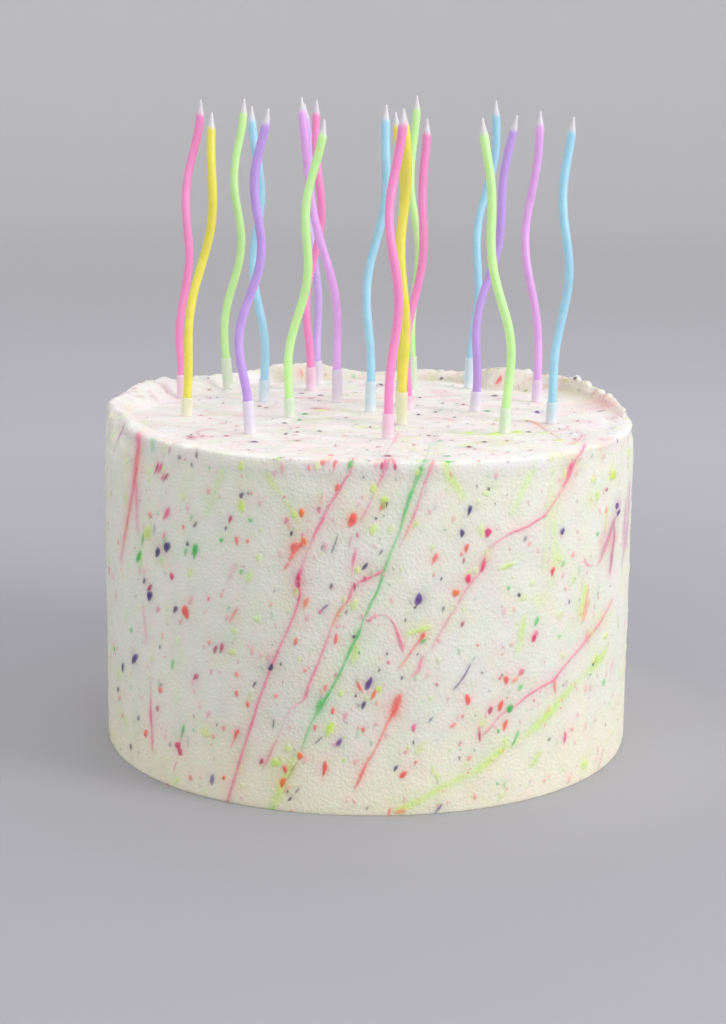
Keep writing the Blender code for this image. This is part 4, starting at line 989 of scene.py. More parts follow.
def paint_material(name, roughness):
    """Food colour soaked into the icing: the vertex colours say how much."""
    mat, tree, shader = new_material(name)
    coords = grain_bump(tree, shader, 0.35)
    paint = node(tree, "ShaderNodeAttribute", attribute_name="paint")
    cloud = node(tree, "ShaderNodeTexNoise")
    cloud.inputs["Scale"].default_value = 900.0
    cloud.inputs["Detail"].default_value = 2.0
    tree.links.new(coords, cloud.inputs["Vector"])
    ramp = node(tree, "ShaderNodeValToRGB")
    ramp.color_ramp.elements[0].position = 0.25
    ramp.color_ramp.elements[0].color = (0.90, 0.90, 0.90, 1)
    ramp.color_ramp.elements[1].position = 0.6
    ramp.color_ramp.elements[1].color = (1.0, 1.0, 1.0, 1)
    tree.links.new(cloud.outputs["Fac"], ramp.inputs["Fac"])
    mul = node(tree, "ShaderNodeMix", data_type="RGBA", blend_type="MULTIPLY")
    mul.inputs["Factor"].default_value = 1.0
    tree.links.new(paint.outputs["Color"], mul.inputs["A"])
    tree.links.new(ramp.outputs["Color"], mul.inputs["B"])
    tree.links.new(mul.outputs["Result"], shader.inputs["Base Color"])
    shader.inputs["Roughness"].default_value = roughness
    shader.inputs["Specular IOR Level"].default_value = 0.35
    return mat


# =============================================================================
# the cake
# =============================================================================
def cake_rows():
    """Distances up the section, each with how many points go round there."""
    rows = [(u, 640) for u in (0.0, 0.7, 1.4, 2.3, 3.4)]
    wall = np.arange(4.6, 117.0, 1.25)
    rows += [(u, 640) for u in wall]
    lip = np.arange(wall[-1] + 1.1, 145.2, 0.96)
    rows += [(u, 640) for u in lip]
    u = lip[-1]
    per_mm = (U_END - U_TOP) / 89.0
    r = 88.0
    while r > 2.2:
        r -= 1.45
        u = U_END - r * per_mm
        count = 640 if r > 81 else 320 if r > 44 else 160 if r > 22 else 80 if r > 9 else 40
        rows.append((u, count))
    return rows


def build_cake(material):
    rows = cake_rows()
    a = np.concatenate([np.arange(n) * 360.0 / n for _, n in rows])
    u = np.concatenate([np.full(n, float(up)) for up, n in rows])
    co = surface(a, u)
    co[u == 0.0, 2] = 0.0
    co[:, 2] = np.maximum(co[:, 2], 0.0)
    starts = np.cumsum([0] + [n for _, n in rows])
    faces = []
    for k in range(len(rows) - 1):
        n0, n1 = rows[k][1], rows[k + 1][1]
        s0, s1 = starts[k], starts[k + 1]
        i = np.arange(n1)
        if n0 == n1:
            j = (i + 1) % n1
            faces += np.stack([s0 + i, s0 + j, s1 + j, s1 + i], 1).tolist()
        else:
            o0, o1, o2 = (2 * i) % n0, (2 * i + 1) % n0, (2 * i + 2) % n0
            j = (i + 1) % n1
            faces += np.stack([s0 + o0, s0 + o1, s1 + i], 1).tolist()
            faces += np.stack([s0 + o1, s1 + j, s1 + i], 1).tolist()
            faces += np.stack([s0 + o1, s0 + o2, s1 + j], 1).tolist()
    centre = len(co)
    co = np.vstack([co, surface(np.zeros(1), np.array([U_END - 0.01]))])
    last, n = starts[len(rows) - 1], rows[-1][1]
    faces += [(int(last + i), int(last + (i + 1) % n), centre) for i in range(n)]
    faces.append(list(range(rows[0][1] - 1, -1, -1)))
    obj = make_object("icing_cake", co, faces, material)
    a, u = np.append(a, 0.0), np.append(u, U_END - 0.01)
    point_colours(obj, "tint_and_painted_light", icing_colour_with_painted_light(co, a, u))
    return obj


def icing_colour_with_painted_light(co, a, u):
    """Cream icing with the faint clouds of colour that have bled out of the splashes, with painted shade on the lip's
    inner face at the back right and painted warm bounce light low on the wall.
    """
    share = ease((co[:, 2] - 121.0) / 6.0)[:, None]
    base = np.array(ICING) * (1 - share) + np.array(ICING_TOP) * share
    for colour, size, seed, amount in ((lin(206, 230, 196), 8.0, 21, 0.18),
                                       (lin(250, 210, 208), 6.5, 22, 0.15),
                                       (lin(236, 240, 176), 9.0, 23, 0.15),
                                       (lin(216, 210, 232), 7.0, 24, 0.10),
                                       (lin(248, 204, 210), 3.2, 25, 0.12),
                                       (lin(204, 230, 200), 3.6, 26, 0.12)):
        w = amount * ease((noise(co, size, seed) + 0.6 * noise(co, size * 0.4, seed + 9)) / 0.9)
        base = base + (np.array(colour) - base) * w[:, None]
    # painted shade: the inner face of the lip at the back right is darkened and warmed, most towards its foot
    foot = 146.5 - 3.9 * ramped(a)
    face = steepness(a) * ease((u - 131.5) / 5.0) * ease((foot - u) / 1.7)
    face = face * (0.75 + 0.25 * noise(co, 6.0, 31)) * ease((wrapped(a - 57.0) + 64.0) / 20.0)
    # painted shadow: a dark line along the foot of the inner face at the right end of the lip
    face = face + 0.7 * ramped(a) * ease((a % 360.0 - 7.0) / 10.0) * np.exp(-((u - 141.2) / 1.1) ** 2)
    base = base * (1 - np.minimum(face, 1.5)[:, None] * np.array([0.15, 0.20, 0.30]))
    flat = ease((u - 137.0) / 8.0)
    lines = co * np.array([0.5, 1.0, 1.0])
    for colour, size, seed, amount in ((lin(236, 216, 206), 5.0, 41, 0.26), (lin(246, 206, 214), 6.0, 42, 0.30),
                                       (lin(212, 228, 208), 5.0, 43, 0.26), (lin(218, 210, 208), 3.6, 44, 0.20)):
        w = amount * flat * ease((noise(lines, size, seed) + 0.5 * noise(co, size * 0.6, seed + 9) - 0.05) / 0.8)
        base = base + (np.array(colour) - base) * w[:, None]
    # painted bounce light: the lower wall is made warmer, redder and less blue, towards the bottom
    low = ease((42.0 - co[:, 2]) / 42.0)[:, None] * 0.6
    base = base * (1 - low) + base * np.array([1.14, 1.06, 0.91]) * low
    rgb, amount = bled(a, u)
    return base + (rgb - base) * amount[:, None]


# =============================================================================
# the splashes
# =============================================================================
PAINT = {
    "coral": lin(252, 90, 82), "orange": lin(255, 116, 44), "pink": lin(242, 92, 142),
    "magenta": lin(234, 40, 112), "green": lin(46, 196, 78), "lime": lin(208, 244, 50),
    "purple": lin(92, 44, 138), "dark": lin(58, 34, 78), "indigo": lin(56, 36, 112), "wine": lin(196, 46, 98), "olive": lin(156, 166, 50),
    "lavender": lin(212, 146, 190), "mauve": lin(184, 72, 126), "rose": lin(190, 110, 124),
    "maroon": lin(148, 64, 92), "fern": lin(56, 158, 84),
}
GROUPS = {"coral": "coral", "orange": "coral", "pink": "pink", "magenta": "pink", "green": "green",
          "lime": "lime", "olive": "lime", "purple": "purple", "dark": "purple", "indigo": "purple", "lavender": "pink",
          "mauve": "pink", "wine": "pink", "rose": "pink", "maroon": "pink", "fern": "green"}
# small drops that dried on the top
DULLED = {"coral": "rose", "pink": "rose", "magenta": "maroon", "green": "fern"}
rng = np.random.default_rng(414)


class Splash:
    """Collects the points and faces of one colour's strokes and droplets."""

    def __init__(self):
        self.a, self.u, self.lift, self.rgb, self.power, self.faces, self.count = [], [], [], [], [], [], 0

    def add(self, a, u, lift, rgb, power, faces):
        self.a.append(a)
        self.u.append(u)
        self.lift.append(lift)
        self.rgb.append(np.tile(rgb, (len(a), 1)))
        self.power.append(power)
        self.faces += (faces + self.count).tolist()
        self.count += len(a)


# What each splash leaves in the icing round it: colour summed on two maps, one
# unrolled from the wall and lip, one of the top.
CELL = 0.5
WALL_MAP = np.zeros((int(150 / CELL), int(round(math.tau * 103.4 / CELL)), 4))
TOP_MAP = np.zeros((int(210 / CELL), int(210 / CELL), 4))
BLEED = ((0.95, 0.70), (3.2, 1.0))     # spread in mm, amount


def stain(a, u, area, rgb):
    a, u, area = np.atleast_1d(a), np.atleast_1d(u), np.atleast_1d(area)
    value = np.concatenate([area[:, None] * np.asarray(rgb)[None, :], area[:, None]], 1)
    side = u < U_TOP
    row = np.clip((u[side] / CELL).astype(int), 0, WALL_MAP.shape[0] - 1)
    col = ((a[side] % 360.0) / 360.0 * WALL_MAP.shape[1]).astype(int) % WALL_MAP.shape[1]
    np.add.at(WALL_MAP, (row, col), value[side])
    r = 90.0 * (1 - (u - U_TOP) / (U_END - U_TOP))
    x, y = r * np.cos(np.radians(a)), r * np.sin(np.radians(a))
    near = u > U_TOP - 8.0
    row = np.clip(((y[near] + 105.0) / CELL).astype(int), 0, TOP_MAP.shape[0] - 1)
    col = np.clip(((x[near] + 105.0) / CELL).astype(int), 0, TOP_MAP.shape[1] - 1)
    np.add.at(TOP_MAP, (row, col), value[near])


def soften(grid, spread):
    fy, fx = np.fft.fftfreq(grid.shape[0], CELL), np.fft.fftfreq(grid.shape[1], CELL)
    fade = np.exp(-2 * (math.pi * spread) ** 2 * (fy[:, None] ** 2 + fx[None, :] ** 2))
    return np.real(np.fft.ifft2(np.fft.fft2(grid, axes=(0, 1)) * fade[:, :, None], axes=(0, 1)))


SOFT_MAPS = []


def soften_maps():
    for grid in (WALL_MAP, TOP_MAP):
        total = sum(amount * soften(grid, spread) for spread, amount in BLEED) / (CELL * CELL)
        SOFT_MAPS.append(np.maximum(total, 0.0))


def bled(a, u):
    """The colour that has bled into the icing at each point, and how much of it."""
    wall, top = SOFT_MAPS
    row = np.clip((u / CELL).astype(int), 0, wall.shape[0] - 1)
    col = ((a % 360.0) / 360.0 * wall.shape[1]).astype(int) % wall.shape[1]
    found = wall[row, col]
    r = 90.0 * (1 - (u - U_TOP) / (U_END - U_TOP))
    x, y = r * np.cos(np.radians(a)), r * np.sin(np.radians(a))
    row = np.clip(((y + 105.0) / CELL).astype(int), 0, top.shape[0] - 1)
    col = np.clip(((x + 105.0) / CELL).astype(int), 0, top.shape[1] - 1)
    share = ease((u - U_TOP + 3.0) / 3.0)[:, None]
    found = found * (1 - share) + top[row, col] * share
    much = np.maximum(found[:, 3], 1e-6)
    return found[:, :3] / much[:, None], 0.75 * (1 - np.exp(-0.85 * much))


splashes = {name: Splash() for name in ("coral", "pink", "green", "lime", "purple")}


def across_scale(u):
    """How many mm one degree is, at that distance up the section."""
    r = np.where(u > U_TOP, 89.0 * (1 - (u - U_TOP) / (U_END - U_TOP)), 103.4)
    return np.radians(1.0) * np.maximum(r, 1.0)


def pigment_of(colour, jitter):
    return np.clip(np.array(PAINT[colour]) * (1 + jitter * rng.uniform(-1, 1, 3)), 0, 1)


# a droplet's rings: distance out, share of its height, share of its strength
DROP_RINGS = ((0.0, 1.0, 1.0), (0.52, 0.86, 1.0), (0.84, 0.42, 0.86), (1.08, 0.10, 0.34), (1.26, -0.30, 0.06))


def add_drop(colour, place, long, wide, slant, strength, on_top=False, stretch=1.0):
    """A domed droplet. place is (direction, distance up) or (x, y) on the top."""
    big = max(long, wide)
    sides = 8 if big < 1.2 else 12 if big < 3 else 18
    rings = DROP_RINGS if big > 1.0 else (DROP_RINGS[0], DROP_RINGS[1], DROP_RINGS[3], DROP_RINGS[4])
    t = np.arange(sides) * math.tau / sides
    phase = rng.uniform(0, math.tau, 4)
    rough = 1 + 0.10 * np.sin(2 * t + phase[0]) + 0.09 * np.sin(3 * t + phase[1]) + 0.05 * np.sin(5 * t + phase[2])
    tail = 1.0 + (0.22 * max(0.0, long / max(wide, 0.1) - 1.2)) * 0.0
    px = 0.5 * long * np.cos(t) * rough * tail
    py = 0.5 * wide * np.sin(t) * rough * (1.0 + 0.22 * np.cos(t) * (1 if rng.random() < 0.75 else -1))
    c, s = math.cos(math.radians(slant)), math.sin(math.radians(slant))
    x, y = px * c - py * s, px * s + py * c
    xs, ys, lift, power = [np.zeros(1)], [np.zeros(1)], [np.ones(1)], [np.ones(1)]
    halo = min(0.45, 0.28 * wide + 0.1)
    for out, high, share in rings[1:]:
        grow = out if out <= 1.0 else 1.0 + (out - 1.0) * 2.0 * halo / max(0.5 * wide, 0.2)
        xs.append(x * grow)
        ys.append(y * grow)
        lift.append(np.full(sides, high))
        power.append(np.full(sides, share))
    xs, ys = np.concatenate(xs), np.concatenate(ys)
    lift, power = np.concatenate(lift), np.concatenate(power)
    height = min(0.34, 0.10 + 0.09 * wide) * (0.55 + 0.45 * strength)
    if on_top:
        a, u = top_coords(place[0] + xs, place[1] + ys)
    else:
        u = place[1] + ys
        a = place[0] + stretch * xs / across_scale(u)
    faces = []
    i = np.arange(sides)
    j = (i + 1) % sides
    tri = np.stack([np.zeros(sides, int), 1 + i, 1 + j], 1)
    quads = []
    for k in range(len(rings) - 2):
        s0, s1 = 1 + k * sides, 1 + (k + 1) * sides
        quads.append(np.stack([s0 + i, s1 + i, s1 + j, s0 + j], 1))
    rgb = pigment_of(colour, 0.10)
    stain(a[0], u[0], 1.15 * long * wide * strength, rgb)
    splash = splashes[GROUPS[colour]]
    start = splash.count
    splash.add(a, u, 0.05 + lift * height, rgb, power * strength * 0.86, tri)
    splash.faces += (np.concatenate(quads) + start).tolist()


RIBBON = ((-1.0, -0.40, 0.0), (-0.78, 0.05, 0.22), (-0.46, 0.62, 0.85), (0.0, 1.0, 1.0),
          (0.46, 0.62, 0.85), (0.78, 0.05, 0.22), (1.0, -0.40, 0.0))
SOFT_RIBBON = ((-1.0, -0.40, 0.0), (-0.7, 0.4, 0.35), (-0.35, 0.8, 0.8), (0.0, 1.0, 1.0),
               (0.35, 0.8, 0.8), (0.7, 0.4, 0.35), (1.0, -0.40, 0.0))


def spline(points, step):
    """Catmull-Rom through the points, sampled about every step along the line."""
    p = np.asarray(points, float)
    ends = np.vstack([2 * p[0] - p[1], p, 2 * p[-1] - p[-2]])
    out = []
    for k in range(len(p) - 1):
        p0, p1, p2, p3 = ends[k:k + 4]
        long = math.hypot(p2[0] - p1[0], p2[1] - p1[1])
        n = max(2, int(math.ceil(long / step)))
        t = (np.arange(n) / n)[:, None]
        out.append(0.5 * (2 * p1 + (p2 - p0) * t + (2 * p0 - 5 * p1 + 4 * p2 - p3) * t ** 2
                          + (3 * p1 - p0 - 3 * p2 + p3) * t ** 3))
    out.append(p[-1:])
    return np.vstack(out)


def wobble(n, step, size, amount):
    """A random line of n values, smooth over about size mm."""
    k = max(2, int(n * step / size) + 3)
    return amount * np.interp(np.arange(n) * step / size, np.arange(k), rng.uniform(-1, 1, k))


def add_stroke(colour, points, on_top=False, dash=1.0):
    """A thin line of colour. points: direction or x, distance up or y, width, strength."""
    pts = np.asarray(points, float)
    if not on_top:
        scale = math.radians(1.0) * 103.4
        pts = pts * np.array([scale, 1.0, 1.0, 1.0])
    wide_mean = pts[:, 2].mean()
    soft = colour in ("lime", "lavender") or pts[:, 3].mean() < 0.33
    step = 0.8 if wide_mean < 1.6 else 1.1
    p = spline(pts, step)
    n = len(p)
    if n < 3:
        return
    tangent = np.gradient(p[:, :2], axis=0)
    tangent /= np.maximum(np.linalg.norm(tangent, axis=1), 1e-9)[:, None]
    normal = np.stack([-tangent[:, 1], tangent[:, 0]], 1)
    half = (0.42 if colour in ("purple", "dark") else 0.31) * np.maximum(p[:, 2], 0.3)
    if not on_top:
        p[:, 3] *= 1.0 - 0.85 * ease((p[:, 1] - 129.0) / 7.0)
        half = half / np.clip(np.cos(np.radians(wrapped(p[:, 0] / scale - 270.0))), 0.5, 1.0) ** 0.8
    half = half * (1 + wobble(n, step, 2.2, 0.22) + wobble(n, step, 6.0, 0.16))
    power = np.clip(p[:, 3], 0, 1) * (1 + dash * wobble(n, step, 1.7, 0.20) + dash * wobble(n, step, 5.0, 0.14))
    end = ease(np.minimum(np.arange(n), np.arange(n)[::-1]) * step / 1.6)
    half = half * (0.25 + 0.75 * end)
    power = power * (0.4 + 0.6 * end)
    p = p[:, :2] + normal * wobble(n, step, 3.5, 0.10)[:, None]
    profile = SOFT_RIBBON if soft else RIBBON
    m = len(profile)
    spread = (1.9 * half + 0.35) if soft else (1.35 * half + 0.22)
    left = wobble(n, step, 1.5, 0.16)
    xs, ys, lift, share = [], [], [], []
    for k, (across, high, part) in enumerate(profile):
        w = spread * (across + (left * (1 if k % 2 else -1) if 0 < k < m - 1 and across else 0.0))
        xs.append(p[:, 0] + normal[:, 0] * w)
        ys.append(p[:, 1] + normal[:, 1] * w)
        height = (0.05 if soft else np.minimum(0.26, 0.10 + 0.10 * half)) * (0.5 + 0.5 * power)
        lift.append(0.055 + high * height)
        share.append(power * part)
    xs, ys = np.stack(xs, 1).ravel(), np.stack(ys, 1).ravel()
    lift, share = np.stack(lift, 1).ravel(), np.stack(share, 1).ravel()
    if on_top:
        a, u = top_coords(xs, ys)
    else:
        a, u = xs / (math.radians(1.0) * 103.4), ys
    i = (np.arange(n - 1)[:, None] * m + np.arange(m - 1)[None, :]).ravel()
    quads = np.stack([i, i + m, i + m + 1, i + 1], 1)
    u = np.clip(u, 0.8, U_END - 1)
    rgb = pigment_of(colour, 0.05)
    mid = np.arange(m // 2, n * m, m)
    stain(a[mid], u[mid], step * 3.4 * half * power, rgb)
    splashes[GROUPS[colour]].add(a, u, lift, rgb, share * (0.62 if soft else 0.76), quads)


def in_front(a):
    return abs(wrapped(a - 270.0)) < 76.0


def random_splashes():
    """The rest of the splashes: fine specks all round, and the hidden sides in full."""
    kinds = ("coral", "pink", "magenta", "green", "lime", "purple", "dark", "orange")
    small = np.array([0.20, 0.17, 0.08, 0.13, 0.12, 0.05, 0.22, 0.03])
    large = np.array([0.26, 0.12, 0.14, 0.12, 0.14, 0.14, 0.02, 0.06])
    # fine specks
    for _ in range(1250):
        a, u = rng.uniform(0, 360), rng.uniform(1.5, 141)
        if 174.0 < a < 200.0 and u > 118.0:
            u -= 50.0
        if in_front(a) and rng.random() < 0.42:
            continue
        colour = kinds[rng.choice(8, p=small / small.sum())]
        wide = rng.choice((0.6, 0.8, 1.05), p=(0.4, 0.4, 0.2)) * rng.uniform(0.85, 1.2)
        add_drop(colour, (a, u), wide * rng.uniform(1.0, 1.9), wide, rng.normal(76, 12),
                 rng.choice((0.22, 0.36, 0.5, 0.75), p=(0.36, 0.32, 0.22, 0.10)))
    # broader, fainter marks
    faint = np.array([0.26, 0.20, 0.06, 0.16, 0.26, 0.02, 0.0, 0.04])
    for _ in range(900):
        a, u = rng.uniform(0, 360), rng.uniform(1.5, 141)
        if in_front(a) and rng.random() < 0.25:
            continue
        colour = kinds[rng.choice(8, p=faint / faint.sum())]
        wide = rng.uniform(0.8, 1.6) * (1.4 if colour == "lime" else 1.0)
        add_drop(colour, (a, u), wide * rng.uniform(1.2, 2.8), wide, rng.normal(76, 12), rng.uniform(0.14, 0.36))
    # droplets on the sides that the table leaves open
    for _ in range(330):
        a, u = rng.uniform(0, 360), rng.uniform(3, 138)
        if abs(wrapped(a - 270.0)) < 94.0 and rng.random() < 0.92:
            continue
        if u > 122.0:
            u -= 40.0
        colour = kinds[rng.choice(8, p=large / large.sum())]
        wide = float(np.clip(rng.lognormal(0.25, 0.38), 0.8, 2.8))
        long = wide * rng.uniform(1.2, 2.8)
        strength = rng.uniform(0.3, 0.6) if colour == "lime" else rng.uniform(0.55, 1.0)
        add_drop(colour, (a, u), long, wide, rng.normal(78, 11), strength)
    # strokes on the same sides
    made = 0
    while made < 52:
        a, u = rng.uniform(0, 360), rng.uniform(20, 133)
        if abs(wrapped(a - 270.0)) < 94.0:
            continue
        made += 1
        colour = ("pink", "coral", "green", "lime", "purple", "orange")[
            rng.choice(6, p=(0.38, 0.16, 0.12, 0.22, 0.08, 0.04))]
        long = float(np.clip(rng.lognormal(3.1, 0.75), 7, 125)) * (0.35 if colour == "purple" else 1.0)
        heading = math.radians(-rng.normal(108, 11))
        bend = rng.normal(0, 0.006)
        wide = {"lime": 2.0, "purple": 0.7}.get(colour, 1.15) * rng.uniform(0.75, 1.3)
        power = {"lime": 0.42, "purple": 0.75}.get(colour, 0.66) * rng.uniform(0.8, 1.2)
        pts, x, y = [], a * math.radians(1) * 103.4, u
        pieces = max(3, int(long / 11))
        for k in range(pieces + 1):
            blob = 1.0 + (0.9 if rng.random() < 0.14 else 0.0)
            fade = 0.55 if rng.random() < 0.25 else 1.0
            pts.append((x / (math.radians(1) * 103.4), y, wide * blob * rng.uniform(0.8, 1.2),
                        min(1.0, power * fade * (1.25 if blob > 1 else 1.0))))
            x += math.cos(heading) * long / pieces
            y += math.sin(heading) * long / pieces
            heading += bend * long / pieces + rng.normal(0, 0.05)
            if y < 2.0:
                break
        if len(pts) > 2:
            add_stroke(colour, pts)
    # the flat top
    for _ in range(430):
        r, t = 90.0 * math.sqrt(rng.random()), rng.uniform(0, math.tau)
        colour = kinds[rng.choice(8, p=small / small.sum())]
        wide = rng.choice((0.5, 0.8, 1.1, 1.6), p=(0.36, 0.36, 0.2, 0.08)) * rng.uniform(0.85, 1.2)
        strength = rng.choice((0.25, 0.4, 0.6, 0.85), p=(0.34, 0.3, 0.2, 0.16))
        add_drop(DULLED.get(colour, colour), (r * math.cos(t), r * math.sin(t)), wide * rng.uniform(1.0, 1.8), wide,
                 rng.uniform(0, 180), strength * (1.0 if colour in ("dark", "purple") else 0.7), on_top=True)
    for _ in range(26):
        r, t = 82.0 * math.sqrt(rng.random()), rng.uniform(0, math.tau)
        x, y = r * math.cos(t), r * math.sin(t)
        heading, long = rng.uniform(0, math.tau), rng.uniform(5, 20)
        colour = ("pink", "lime", "coral", "magenta")[rng.choice(4, p=(0.35, 0.35, 0.15, 0.15))]
        pts = []
        for k in range(5):
            pts.append((x, y, rng.uniform(0.6, 1.3) * (1.6 if colour == "lime" else 1.0), rng.uniform(0.25, 0.5)))
            x, y = x + math.cos(heading) * long / 4, y + math.sin(heading) * long / 4
            heading += rng.normal(0, 0.35)
        if math.hypot(x, y) < 88:
            add_stroke(colour, pts, on_top=True)


def smear(colour, a, u, amount):
    """Colour rubbed in softly, without an edge."""
    reach = 0.6 * math.sqrt(amount)
    over, up = rng.normal(0, reach, 30), rng.normal(0, 0.8 * reach, 30)
    u = np.clip(u + up, 1.0, U_END - 2.0)
    stain(a + over / across_scale(u), u, np.full(30, 0.8 * amount / 30), PAINT[colour])


def scatter_splashes():
    for colour, pts in STROKES:
        soft = 0.78 if pts[0][0] < 216.0 and colour in ("coral", "pink", "magenta") else 1.0
        add_stroke(colour, [(a, u, wide, soft * strength) for a, u, wide, strength in pts])
    for colour, a, u, long, wide, slant, strength in DROPS:
        turned = abs(wrapped(a - 270.0))
        if colour == "magenta" and wide < 1.9:
            colour = "wine"
        if colour == "purple" and wide < 1.8:
            colour = "indigo"
        if colour != "lime":
            wide *= 0.88
        stretch = 1.0 / max(0.36, math.cos(math.radians(turned))) ** 0.65 if turned < 90.0 else 1.0
        add_drop(colour, (a, u), long, wide, slant, strength, stretch=stretch)
    for colour, x, y, wide, deep, strength in TOP_DROPS:
        add_drop(DULLED.get(colour, colour), (x, y), wide, deep, 0.0, strength, on_top=True)
    for colour, pts in TOP_STROKES:
        soft = 0.62 if colour == "lime" else 0.9
        add_stroke(colour, [(x, y, wide, soft * strength) for x, y, wide, strength in pts], on_top=True)
    for colour, a, u, amount in SMEARS:
        smear(colour, a, u, amount)
    random_splashes()
    soften_maps()


def build_splashes():
    made = []
    for name, splash in splashes.items():
        a, u = np.concatenate(splash.a), np.concatenate(splash.u)
        co = surface(a, u, np.concatenate(splash.lift))
        co[:, 2] = np.maximum(co[:, 2], 0.02)
        obj = make_object("splashes_" + name, co, splash.faces,
                          paint_material("food_colour_" + name, 0.5 if name != "purple" else 0.42))
        power = np.clip(np.concatenate(splash.power), 0, 1)[:, None]
        # the colour under the splashes carries the same painted shade and painted bounce light
        base = icing_colour_with_painted_light(co, a, u)
        point_colours(obj, "paint", base + (np.concatenate(splash.rgb) - base) * power)
        made.append(obj)
    return made


# =============================================================================
# candles and their cups
# =============================================================================
WAX = {
    "pink": lin(255, 152, 207), "yellow": lin(241, 232, 98), "green": lin(205, 252, 170),
    "blue": lin(170, 219, 241), "purple": lin(198, 164, 233), "violet": lin(232, 177, 242),
    "orchid": lin(230, 178, 238), "lavender": lin(212, 182, 240),
}
CUP = {
    "pink": lin(255, 208, 229), "yellow": lin(243, 241, 200), "green": lin(222, 245, 212),
    "blue": lin(212, 234, 247), "purple": lin(234, 225, 247), "violet": lin(233, 219, 240),
    "orchid": lin(238, 212, 242), "lavender": lin(230, 219, 238),
}


def candle_path(row, number):
    _, foot_x, foot_y, _, rim, lean, swing_s, phase_s, swing_l, phase_l = row
    ks, kl = math.tau / SHORT_WAVE, math.tau / LONG_WAVE
    ps, pl = math.radians(phase_s), math.radians(phase_l)
    deep_s = math.sqrt(max(0.25, SHORT_SWING ** 2 - swing_s ** 2))
    deep_l = math.sqrt(max(0.25, LONG_SWING ** 2 - swing_l ** 2))
    lean_y = 0.02 * math.sin(2.4 * number)

    def wave(z):
        return lean * z + swing_s * math.sin(ks * z + ps) + swing_l * math.sin(kl * z + pl)

    slope = (lean + swing_s * ks * math.cos(ks * rim + ps)
             + swing_l * kl * math.cos(kl * rim + pl))
    foot_wave = wave(rim) - slope * rim

    def point(z):
        free = max(z - rim, 0.0)
        x = foot_x - foot_wave + (wave(z) if free else wave(rim) + slope * (z - rim))
        y = foot_y + lean_y * free + float(ease(free / 22.0)) * (
            deep_s * math.cos(ks * z + ps) + deep_l * math.cos(kl * z + pl))
        return np.array([x, y, CAKE_HEIGHT + z])

    return point, Vector((slope, 0.0, 1.0)).normalized()


def swept(path, radii, sides):
    """A closed round rod along the points; every ring square to the line."""
    path = np.asarray(path)
    n = len(path)
    tangent = np.gradient(path, axis=0)
    tangent /= np.linalg.norm(tangent, axis=1)[:, None]
    side = np.cross(tangent, np.array([0.0, 1.0, 0.0]))
    side /= np.linalg.norm(side, axis=1)[:, None]
    other = np.cross(tangent, side)
    t = np.arange(sides) * math.tau / sides
    ring = (np.cos(t)[None, :, None] * side[:, None, :] + np.sin(t)[None, :, None] * other[:, None, :])
    co = path[:, None, :] + ring * np.asarray(radii)[:, None, None]
    co = co.reshape(-1, 3)
    i = (np.arange(n - 1)[:, None] * sides + np.arange(sides)[None, :])
    j = (np.arange(n - 1)[:, None] * sides + (np.arange(sides)[None, :] + 1) % sides)
    quads = np.stack([i, j, j + sides, i + sides], -1).reshape(-1, 4).tolist()
    quads.append(list(range(sides - 1, -1, -1)))
    quads.append([(n - 1) * sides + k for k in range(sides)])
    return co, quads


def wax_material(name, colour):
    mat, tree, shader = new_material(name)
    coords = object_coords(tree)
    white = node(tree, "ShaderNodeAttribute", attribute_name="white")
    cloud = node(tree, "ShaderNodeTexNoise")
    cloud.inputs["Scale"].default_value = 220.0
    cloud.inputs["Detail"].default_value = 3.0
    tree.links.new(coords, cloud.inputs["Vector"])
    ramp = node(tree, "ShaderNodeValToRGB")
    ramp.color_ramp.elements[0].position = 0.3
    ramp.color_ramp.elements[0].color = (*[c * 0.95 for c in colour], 1)
    ramp.color_ramp.elements[1].position = 0.7
    ramp.color_ramp.elements[1].color = (*[min(1.0, c * 1.03 + 0.004) for c in colour], 1)
    tree.links.new(cloud.outputs["Fac"], ramp.inputs["Fac"])
    tip = node(tree, "ShaderNodeMix", data_type="RGBA")
    tip.inputs["B"].default_value = (*lin(220, 218, 224), 1)
    tree.links.new(white.outputs["Fac"], tip.inputs["Factor"])
    tree.links.new(ramp.outputs["Color"], tip.inputs["A"])
    tree.links.new(tip.outputs["Result"], shader.inputs["Base Color"])
    shader.inputs["Roughness"].default_value = 0.42
    shader.inputs["Subsurface Weight"].default_value = 0.45
    shader.inputs["Subsurface Radius"].default_value = (1.0, 0.9, 0.9)
    shader.inputs["Subsurface Scale"].default_value = 0.0012
    bump = node(tree, "ShaderNodeBump")
    bump.inputs["Strength"].default_value = 0.12
    bump.inputs["Distance"].default_value = 0.0003
    tree.links.new(cloud.outputs["Fac"], bump.inputs["Height"])
    tree.links.new(bump.outputs["Normal"], shader.inputs["Normal"])
    return mat


def cup_material(name, colour):
    mat, tree, shader = new_material(name)
    coords = object_coords(tree)
    cloud = node(tree, "ShaderNodeTexNoise")
    cloud.inputs["Scale"].default_value = 260.0
    tree.links.new(coords, cloud.inputs["Vector"])
    ramp = node(tree, "ShaderNodeValToRGB")
    ramp.color_ramp.elements[0].color = (*[c * 0.96 for c in colour], 1)
    ramp.color_ramp.elements[1].color = (*colour, 1)
    tree.links.new(cloud.outputs["Fac"], ramp.inputs["Fac"])
    rubbed = node(tree, "ShaderNodeAttribute", attribute_name="rubbed")
    foot = node(tree, "ShaderNodeMix", data_type="RGBA")
    foot.inputs["B"].default_value = (*ICING_TOP, 1)
    tree.links.new(rubbed.outputs["Fac"], foot.inputs["Factor"])
    tree.links.new(ramp.outputs["Color"], foot.inputs["A"])
    tree.links.new(foot.outputs["Result"], shader.inputs["Base Color"])
    shader.inputs["Roughness"].default_value = 0.34
    shader.inputs["Subsurface Weight"].default_value = 0.35
    shader.inputs["Subsurface Radius"].default_value = (1.0, 1.0, 1.0)
    shader.inputs["Subsurface Scale"].default_value = 0.0015
    return mat


